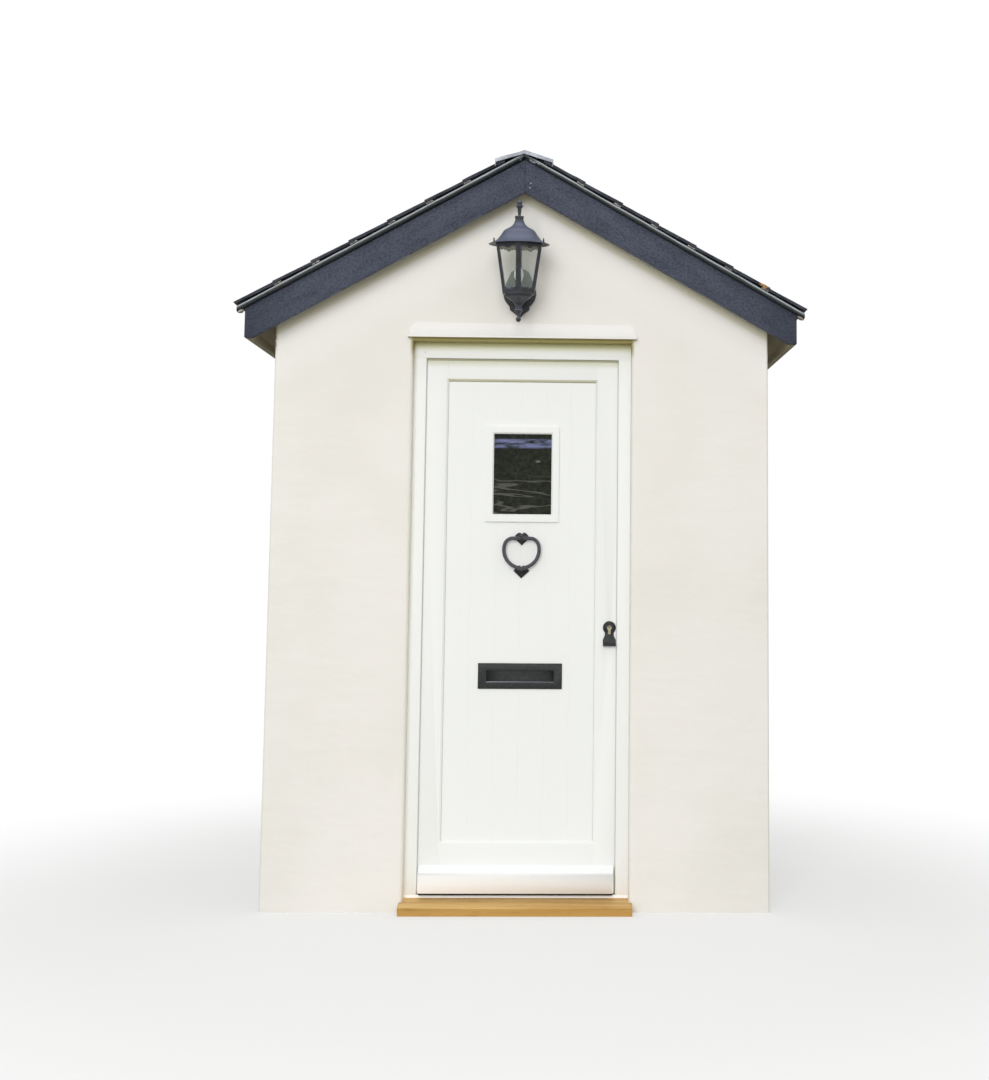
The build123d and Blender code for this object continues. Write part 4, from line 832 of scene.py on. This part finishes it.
# Slates. Riven dark slates, hung in seven courses a slope over a double course at the eaves, half-
# bonded with a slate and a half at alternate verges, their edges nibbled by the slater's knife.
slate = Finish("riven_slate", Roughness=0.55, Specular_IOR_Level=0.4)
SLATE_GREY = paint(70, 72, 82)
SLATE_DARK = paint(50, 52, 60)
SLATE_PALE = paint(116, 120, 136)
LICHEN_GOLD = paint(192, 152, 84)
LICHEN_PLACE = (0.908, -0.149, 2.332)
LICHEN_REACH = 0.026
courses = slate.noise(22, 5, 0.6).rise(0.34, 0.66)
stone = slate.mix(SLATE_GREY, SLATE_DARK, courses)
stone = slate.mix(stone, SLATE_PALE, slate.noise(90, 3, 0.65).rise(0.6, 0.74) * 0.7)
between = {0: slate.place, 1: LICHEN_PLACE}
lichen_distance = slate.node("ShaderNodeVectorMath", {"operation": "DISTANCE"}, between, 1)
lichen = lichen_distance.fall(LICHEN_REACH * 0.5, LICHEN_REACH) * slate.noise(140, 2).rise(0.42, 0.52)
slate.use(
    Base_Color=slate.mix(stone, LICHEN_GOLD, lichen),
    Normal=slate.bump(slate.noise(45, 5, 0.6), 0.0016),
)
SLATE_JOINT = 0.003
SLATES_ACROSS = 4.5
WHOLE_AT_FRONT = [0, 1, 2, 3, 4, 4.5]
HALF_AT_FRONT = [0, 1.5, 2.5, 3.5, 4.5]
NIBBLE = 0.0013
NIBBLED_EDGE = 0.001
HAND_TURN = 0.004
TAIL_SLIP = 0.0035
EAVES_LAP = 0.02
slate_width = (SLATE_BACK - SLATE_FRONT) / SLATES_ACROSS
knife = Random(29)


def riven(left, right, tail, length):
    """One slate between two places along the eaves, hung by its head at its tilt."""
    bpy.ops.object.select_all(action="DESELECT")
    bpy.ops.mesh.primitive_cube_add(size=1)
    piece = bpy.context.object
    width = right - left - SLATE_JOINT
    piece.scale = (width, length, SLATE_THICKNESS)
    fixed(piece)
    with shaping(piece):
        bpy.ops.mesh.subdivide(number_cuts=5)
        side_edge = width / 2 - NIBBLED_EDGE
        tail_edge = NIBBLED_EDGE - length / 2
        pick(piece, "verts", lambda place: abs(place.x) > side_edge or place.y < tail_edge)
        bpy.ops.transform.vertex_random(offset=NIBBLE, seed=knife.randrange(10000))
        bpy.ops.mesh.select_all(action="SELECT")
        askew = knife.uniform(-HAND_TURN, HAND_TURN)
        bpy.ops.transform.rotate(value=askew, orient_axis="Z", center_override=(0, 0, 0))
    rise = TAIL_RISE + SLATE_THICKNESS / 2 - length * slate_tilt / 2
    middle = Vector(((left + right) / 2, -tail + length / 2, rise))
    piece.matrix_world = Matrix.Translation(middle) @ Matrix.Rotation(-slate_tilt, 4, "X")
    return piece


for side, word in SIDES:
    hung = []
    for number, tail in enumerate([first_tail] + tails):
        edges = WHOLE_AT_FRONT if number % 2 else HALF_AT_FRONT
        length = min(SLATE_LENGTH, tail - RIDGE_GAP)
        drop = 0.0
        if number == 0:
            length = SLATE_GAUGE + EAVES_LAP
            drop = SLATE_THICKNESS
        for start, end in zip(edges, edges[1:]):
            places = sorted(side * (SLATE_FRONT + slate_width * edge) for edge in (start, end))
            stone_piece = riven(places[0], places[1], tail + knife.uniform(-TAIL_SLIP, 0), length)
            stone_piece.location.z -= drop
            hung.append(stone_piece)
    laid = fixed(joined(*hung))
    laid.matrix_world = on_slope(side, bed_ridge)
    settle(laid, f"slating_{word}", slate, "porch", "slate", f"slates_{word}")


# Ridge. A sheet of lead dressed over the ridge with a mallet, its front edge turned down over the verge
# and its wings left wavy, dulled to silver with darker runs.
lead = Finish("dull_lead", Roughness=0.5, Specular_IOR_Level=0.5)
LEAD_SILVER = paint(196, 200, 210)
LEAD_DULL = paint(150, 154, 164)
LEAD_RUN = paint(112, 114, 122)
runs = lead.noise(20, 4, 0.6, where=lead.stretched((0.5, 1, 1)))
patina = lead.mix(LEAD_SILVER, LEAD_DULL, lead.noise(16, 5, 0.6).rise(0.4, 0.7))
lead.use(
    Base_Color=lead.mix(patina, LEAD_RUN, runs.rise(0.6, 0.78) * 0.6),
    Normal=lead.bump(lead.noise(34, 3), 0.0016),
)
LEAD_RISE = 0.034
LEAD_SHEET = 0.0022
LEAD_SIDE = 0.0145
LEAD_FRONT = 0.012
LEAD_FOLD = 0.009
LEAD_WAVE = 0.004
MALLET = 0.05
EDGE_REACH = 0.0005
FRONT_REACH = 0.0015
ROOM_ASIDE = 0.0015
ROOM_ABOVE = 0.0032
ROOM_ALONG = 0.002
lead_low, lead_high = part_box("ridge_lead")
wing_half = lead_high.x - ROOM_ASIDE
wing_top = lead_high.z - ROOM_ABOVE
sheet_length = lead_high.y - lead_low.y - ROOM_ALONG
bpy.ops.object.select_all(action="DESELECT")
bpy.ops.mesh.primitive_grid_add(
    x_subdivisions=10,
    y_subdivisions=70,
    size=1,
    location=(wing_half / 2, (lead_low.y + lead_high.y) / 2, wing_top - LEAD_RISE / 2),
    rotation=(0, atan2(LEAD_RISE, wing_half), 0),
)
sheet = bpy.context.object
sheet.scale = ((wing_half ** 2 + LEAD_RISE ** 2) ** 0.5, sheet_length, 1)
fixed(sheet)
with shaping(sheet):
    pick(sheet, "edges", lambda place: place.x > wing_half - EDGE_REACH)
    for i in range(2):
        bpy.ops.mesh.extrude_region_move(TRANSFORM_OT_translate={"value": (0, 0, -LEAD_SIDE / 2)})
    pick(sheet, "edges", lambda place: place.y < lead_low.y + FRONT_REACH)
    for i in range(2):
        bpy.ops.mesh.extrude_region_move(TRANSFORM_OT_translate={"value": (0, 0, -LEAD_FRONT / 2)})
modify(sheet, "MIRROR", use_axis=(True, False, False), use_mirror_merge=True, merge_threshold=0.0005)
soften(sheet, LEAD_FOLD, segments=3, angle=25)
uneven(sheet, LEAD_WAVE, MALLET, "mallet_marks")
with shaping(sheet):
    bpy.ops.mesh.normals_make_consistent(inside=False)
modify(sheet, "SOLIDIFY", thickness=LEAD_SHEET, offset=-1.0)
smooth(sheet, 50)
settle(sheet, "dressed_lead", lead, "porch", "lead_sheet", "ridge_lead")


# Lantern. Cast and spun aluminium in blue-black satin on a scrolled arm, with six panes of clear
# glass. The brim of its hood has lost its front tip. A bulb stands in a dark holder on the dish.
casting = Finish("lantern_black", Roughness=0.4, Specular_IOR_Level=0.4)
CAST_BLACK = paint(60, 63, 71)
CAST_DARK = paint(50, 51, 52)
CAST_SKY_LIGHT = paint(100, 107, 126)
satin = casting.mix(CAST_BLACK, CAST_DARK, casting.noise(40, 2).rise(0.35, 0.75))
# Painted light: the upward-facing faces are painted a lighter blue.
casting.use(
    Base_Color=casting.mix(satin, CAST_SKY_LIGHT, casting.upward.rise(0.05, 0.6)),
    Normal=casting.bump(casting.noise(500, 2), 0.0001),
)
eased(casting, "porch", "lantern_metal", "lantern_finial", "lantern_cage", "lantern_base")


def turned(rings, sides, place, lean):
    """A turned piece on a leaning axis, from rings of a height and a radius in millimetres."""
    rings = [(height / 1000, radius / 1000) for height, radius in rings]
    bpy.ops.object.select_all(action="DESELECT")
    bpy.ops.mesh.primitive_circle_add(vertices=sides, radius=rings[0][1], fill_type="NGON")
    piece = bpy.context.object
    piece.location.z = rings[0][0]
    fixed(piece)
    with shaping(piece):
        for lower, upper in zip(rings, rings[1:]):
            rise = upper[0] - lower[0]
            bpy.ops.mesh.extrude_region_move(TRANSFORM_OT_translate={"value": (0, 0, rise)})
            ratio = upper[1] / lower[1]
            bpy.ops.transform.resize(value=(ratio, ratio, 1), center_override=(0, 0, upper[0]))
        bpy.ops.mesh.select_all(action="SELECT")
        bpy.ops.mesh.normals_make_consistent(inside=False)
    piece.matrix_world = Matrix.Translation(place) @ Matrix.Rotation(lean, 4, "X")
    smooth(piece, 40)
    return piece


LANTERN_LEAN = radians(6)
BRIM_EDGE = 0.0025
HOOD_RINGS = (
    (0, 84), (-0.3, 96), (-6.0, 112.7), (-5.2, 113.5), (-2.6, 108), (0.8, 100), (3.8, 93.5),
    (7.2, 87.5), (12, 82), (17.7, 76.8), (23, 72.4), (28, 68.8), (33.5, 65.4), (38.7, 62.2),
    (43, 59.2), (46.6, 55.8), (49.6, 51.4), (52.2, 46), (55.6, 39.6), (59.8, 33), (63.5, 28),
    (67.6, 23.8), (73.4, 20), (80.8, 17.1), (87, 15.2), (91, 14.5), (91.6, 16.4), (96, 16.4),
)
TIP_RINGS = ((-3.0, 3.5), (10.0, 2.6), (13.0, 1.2))
TIP_ANGLES = (30, 90, 150, 210, 330)
TIP_SETBACK = 0.0080
hood_low, hood_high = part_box("lantern_hood")
brim_radius = (hood_high.x - hood_low.x) / 2
hood_foot = Vector((
    (hood_low.x + hood_high.x) / 2,
    hood_low.y + brim_radius * cos(LANTERN_LEAN) + BRIM_EDGE * sin(LANTERN_LEAN),
    hood_low.z + brim_radius * sin(LANTERN_LEAN),
))
hood = [turned(HOOD_RINGS, 64, hood_foot, LANTERN_LEAN)]
for angle in TIP_ANGLES:
    outward = Vector((cos(radians(angle)), sin(radians(angle)), 0))
    outward = Matrix.Rotation(LANTERN_LEAN, 3, "X") @ outward
    tip_place = hood_foot + outward * (brim_radius - TIP_SETBACK)
    hood.append(turned(TIP_RINGS, 10, tip_place, LANTERN_LEAN))
settle(joined(*hood), "lantern_hood_spun", casting, "porch", "lantern_metal", "lantern_hood")

PLATE_OUTLINE = (
    (0, 98), (20, 91), (34, 82), (37, 74), (45, 56), (56, 30), (62.5, 6), (63, -6), (58, -26),
    (47, -42), (38, -52), (37, -64), (30, -70), (15, -81), (0, -98),
)
PLATE_EDGE = 0.0028
PLATE_THICKNESS = 0.012
plate_low, plate_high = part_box("lantern_bracket")
plate_x = (plate_low.x + plate_high.x) / 2
plate_middle = (plate_low.z + plate_high.z) / 2
BOSS_HEIGHT = 0.070
BOSS_REACH = 0.0186
boss_place = Vector((plate_x, -PLATE_THICKNESS, plate_low.z + BOSS_HEIGHT))
arm = worked_copy("lantern_bracket")
with shaping(arm):
    behind = -PLATE_THICKNESS - 0.0001
    pick(arm, "verts", lambda place: place.y > behind and (place - boss_place).length > BOSS_REACH)
    bpy.ops.mesh.delete(type="VERT")
outline = bpy.data.curves.new("backplate_outline", "CURVE")
outline.dimensions = "2D"
outline.fill_mode = "BOTH"
run = outline.splines.new("POLY")
mirrored = [(-x, z) for x, z in PLATE_OUTLINE[-2:0:-1]]
points = [*PLATE_OUTLINE, *mirrored]
run.points.add(len(points) - 1)
for point, (x, z) in zip(run.points, points):
    point.co = (x / 1000, z / 1000, 0, 1)
run.use_cyclic_u = True
outline.extrude = PLATE_THICKNESS / 2 - PLATE_EDGE
outline.bevel_depth = PLATE_EDGE
outline.bevel_resolution = 2
outline.offset = -PLATE_EDGE
backplate = bpy.data.objects.new("backplate", outline)
bpy.context.scene.collection.objects.link(backplate)
backplate.location = (plate_x, -PLATE_THICKNESS / 2, plate_middle)
backplate.rotation_euler = (pi / 2, 0, 0)
chosen(backplate)
bpy.ops.object.convert(target="MESH")
backplate = bpy.context.object
with shaping(backplate):
    bpy.ops.mesh.remove_doubles(threshold=0.00001)
    bpy.ops.mesh.normals_make_consistent(inside=False)
bracket = joined(fixed(backplate), arm)
smooth(bracket)
settle(bracket, "lantern_bracket_cast", casting, "porch", "lantern_metal", "lantern_bracket")

clear = Finish("clear_pane", Roughness=0.08, Alpha=0.09)
PANE_UPPER = paint(238, 242, 228)
PANE_LOWER = paint(196, 208, 196)
PANE_LOWER_BAND = (2.34, 2.42)
# The panes are coloured darker and greener towards the bottom.
clear.use(Base_Color=clear.mix(PANE_UPPER, PANE_LOWER, clear.z.fall(*PANE_LOWER_BAND)))
dress(clear, "lantern_glass")

HOLDER_RINGS = ((0, 15), (4, 16.5), (22, 16.5), (24, 14.5), (34, 14.5), (37, 12))
BULB_RINGS = (
    (36, 11), (44, 12.5), (54, 16.5), (64, 18), (74, 17.5), (83, 14.5), (90, 9.5), (94.5, 4),
    (95.5, 0.8),
)
HOLDER_SETBACK = 0.0175
HOLDER_SEAT = 0.0022
lamp_low, lamp_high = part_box("lantern_lamp")
lamp_x = (lamp_low.x + lamp_high.x) / 2
lamp_foot = (lamp_x, lamp_high.y - HOLDER_SETBACK, lamp_low.z + HOLDER_SEAT)
holder = turned(HOLDER_RINGS, 20, lamp_foot, LANTERN_LEAN)
settle(holder, "bulb_holder", casting, "porch", "lantern_metal")

frosted = Finish("bulb_glass", Roughness=0.2, Specular_IOR_Level=0.6)
BULB_WHITE = paint(244, 244, 236)
BULB_CREAM = paint(232, 232, 220)
CREAM_BAND = (2.33, 2.37)
frosted.use(Base_Color=frosted.mix(BULB_WHITE, BULB_CREAM, frosted.z.rise(*CREAM_BAND)))
bulb = turned(BULB_RINGS, 24, lamp_foot, LANTERN_LEAN)
settle(bulb, "bulb", frosted, "porch", "lantern_pane", "lantern_lamp")


# Studio. A plain pale floor that fades to white, an overcast sky that is a little brighter overhead, a
# large soft lamp in front, above and slightly to the left, and the camera.
studio = Finish("studio_floor", Roughness=0.9)
FLOOR_PALE = paint(232, 232, 231)
FLOOR_DULL = paint(140, 139, 132)
APRON_REACH = 0.6
APRON_FRONT = 0.3
APRON_STRENGTH = 0.5
FADE_START = 1.4
FADE_END = 3.2
FADE_LEAST = 0.4
FLOOR_SIZE = 120.0
bpy.ops.object.select_all(action="DESELECT")
bpy.ops.mesh.primitive_plane_add(size=FLOOR_SIZE)
floor = bpy.context.object
floor.name = "studio_floor"
floor.data.materials.append(studio.material)
distance = (studio.x * studio.x + studio.y * studio.y) ** 0.5
ray = studio.node("ShaderNodeLightPath", {}, {}, "Is Camera Ray")
from_porch = abs(studio.x).larger(-APRON_FRONT - studio.y)
apron = from_porch.fall(APRON_REACH, 2 * APRON_REACH) * APRON_STRENGTH
studio.use(Base_Color=studio.mix(FLOOR_DULL, FLOOR_PALE, ray.larger(apron)))
white = studio.node("ShaderNodeEmission", {}, {"Color": (1, 1, 1, 1), "Strength": 1.0})
bare = Level(studio, studio.shader.outputs[0])
fade = distance.rise(FADE_START, FADE_END) * (1 - FADE_LEAST) + FADE_LEAST
blend = studio.node("ShaderNodeMixShader", {}, {0: ray * fade, 1: bare, 2: white})
surface = next(n for n in studio.tree.nodes if n.type == "OUTPUT_MATERIAL")
studio.tree.links.new(blend.socket, surface.inputs["Surface"])

HORIZON_LEVEL = 0.66
ZENITH_LEVEL = 0.80
world = bpy.data.worlds.new("overcast_white")
bpy.context.scene.world = world
world.use_nodes = True
sky = Nodes(world.node_tree)
path = {level.socket.name: level for level in sky.outputs(sky.node("ShaderNodeLightPath", {}, {}))}
seen = path["Is Camera Ray"].larger(path["Is Glossy Ray"]).larger(path["Is Transmission Ray"])
height = sky.split(sky.node("ShaderNodeTexCoord", {}, {}, "Generated"))[2]
overcast = height.rise(0.0, 1.0) * (ZENITH_LEVEL - HORIZON_LEVEL) + HORIZON_LEVEL
backdrop = next(n for n in sky.tree.nodes if n.type == "BACKGROUND")
backdrop.inputs["Color"].default_value = (1, 1, 1, 1)
sky.tree.links.new((seen + (1 - seen) * overcast).socket, backdrop.inputs["Strength"])

SOFTBOX_PLACE = Vector((-1.1, -8.5, 3.3))
SOFTBOX_AIM = Vector((0, 0, 1.3))
SOFTBOX_SIZE = 4.5
SOFTBOX_WATTS = 430.0
bpy.ops.object.light_add(type="AREA", location=SOFTBOX_PLACE)
softbox = bpy.context.object
softbox.data.size = SOFTBOX_SIZE
softbox.data.energy = SOFTBOX_WATTS
softbox.visible_glossy = False
softbox.rotation_euler = (SOFTBOX_AIM - SOFTBOX_PLACE).to_track_quat("-Z", "Y").to_euler()

CAMERA_PLACE = (0.141, -5.366, 1.307)
CAMERA_YAW = radians(1.67)
CAMERA_PITCH = radians(5.50)
CAMERA_ROLL = radians(-0.46)
FRAME_WIDTH_PX = 989
FRAME_HEIGHT_PX = 1080
FOCAL_PX = 1416
CENTRE_PX = (600, 420)
SENSOR = 36.0
bpy.ops.object.camera_add()
camera = bpy.context.object
turn = Matrix.Rotation(-CAMERA_YAW, 4, "Z") @ Matrix.Rotation(pi / 2 + CAMERA_PITCH, 4, "X")
camera.matrix_world = Matrix.Translation(CAMERA_PLACE) @ turn @ Matrix.Rotation(-CAMERA_ROLL, 4, "Z")
camera.data.sensor_width = SENSOR
camera.data.lens = SENSOR * FOCAL_PX / FRAME_HEIGHT_PX
camera.data.shift_x = (FRAME_WIDTH_PX / 2 - CENTRE_PX[0]) / FRAME_HEIGHT_PX
camera.data.shift_y = (CENTRE_PX[1] - FRAME_HEIGHT_PX / 2) / FRAME_HEIGHT_PX
bpy.context.scene.camera = camera
bpy.context.scene.view_settings.view_transform = "Standard"
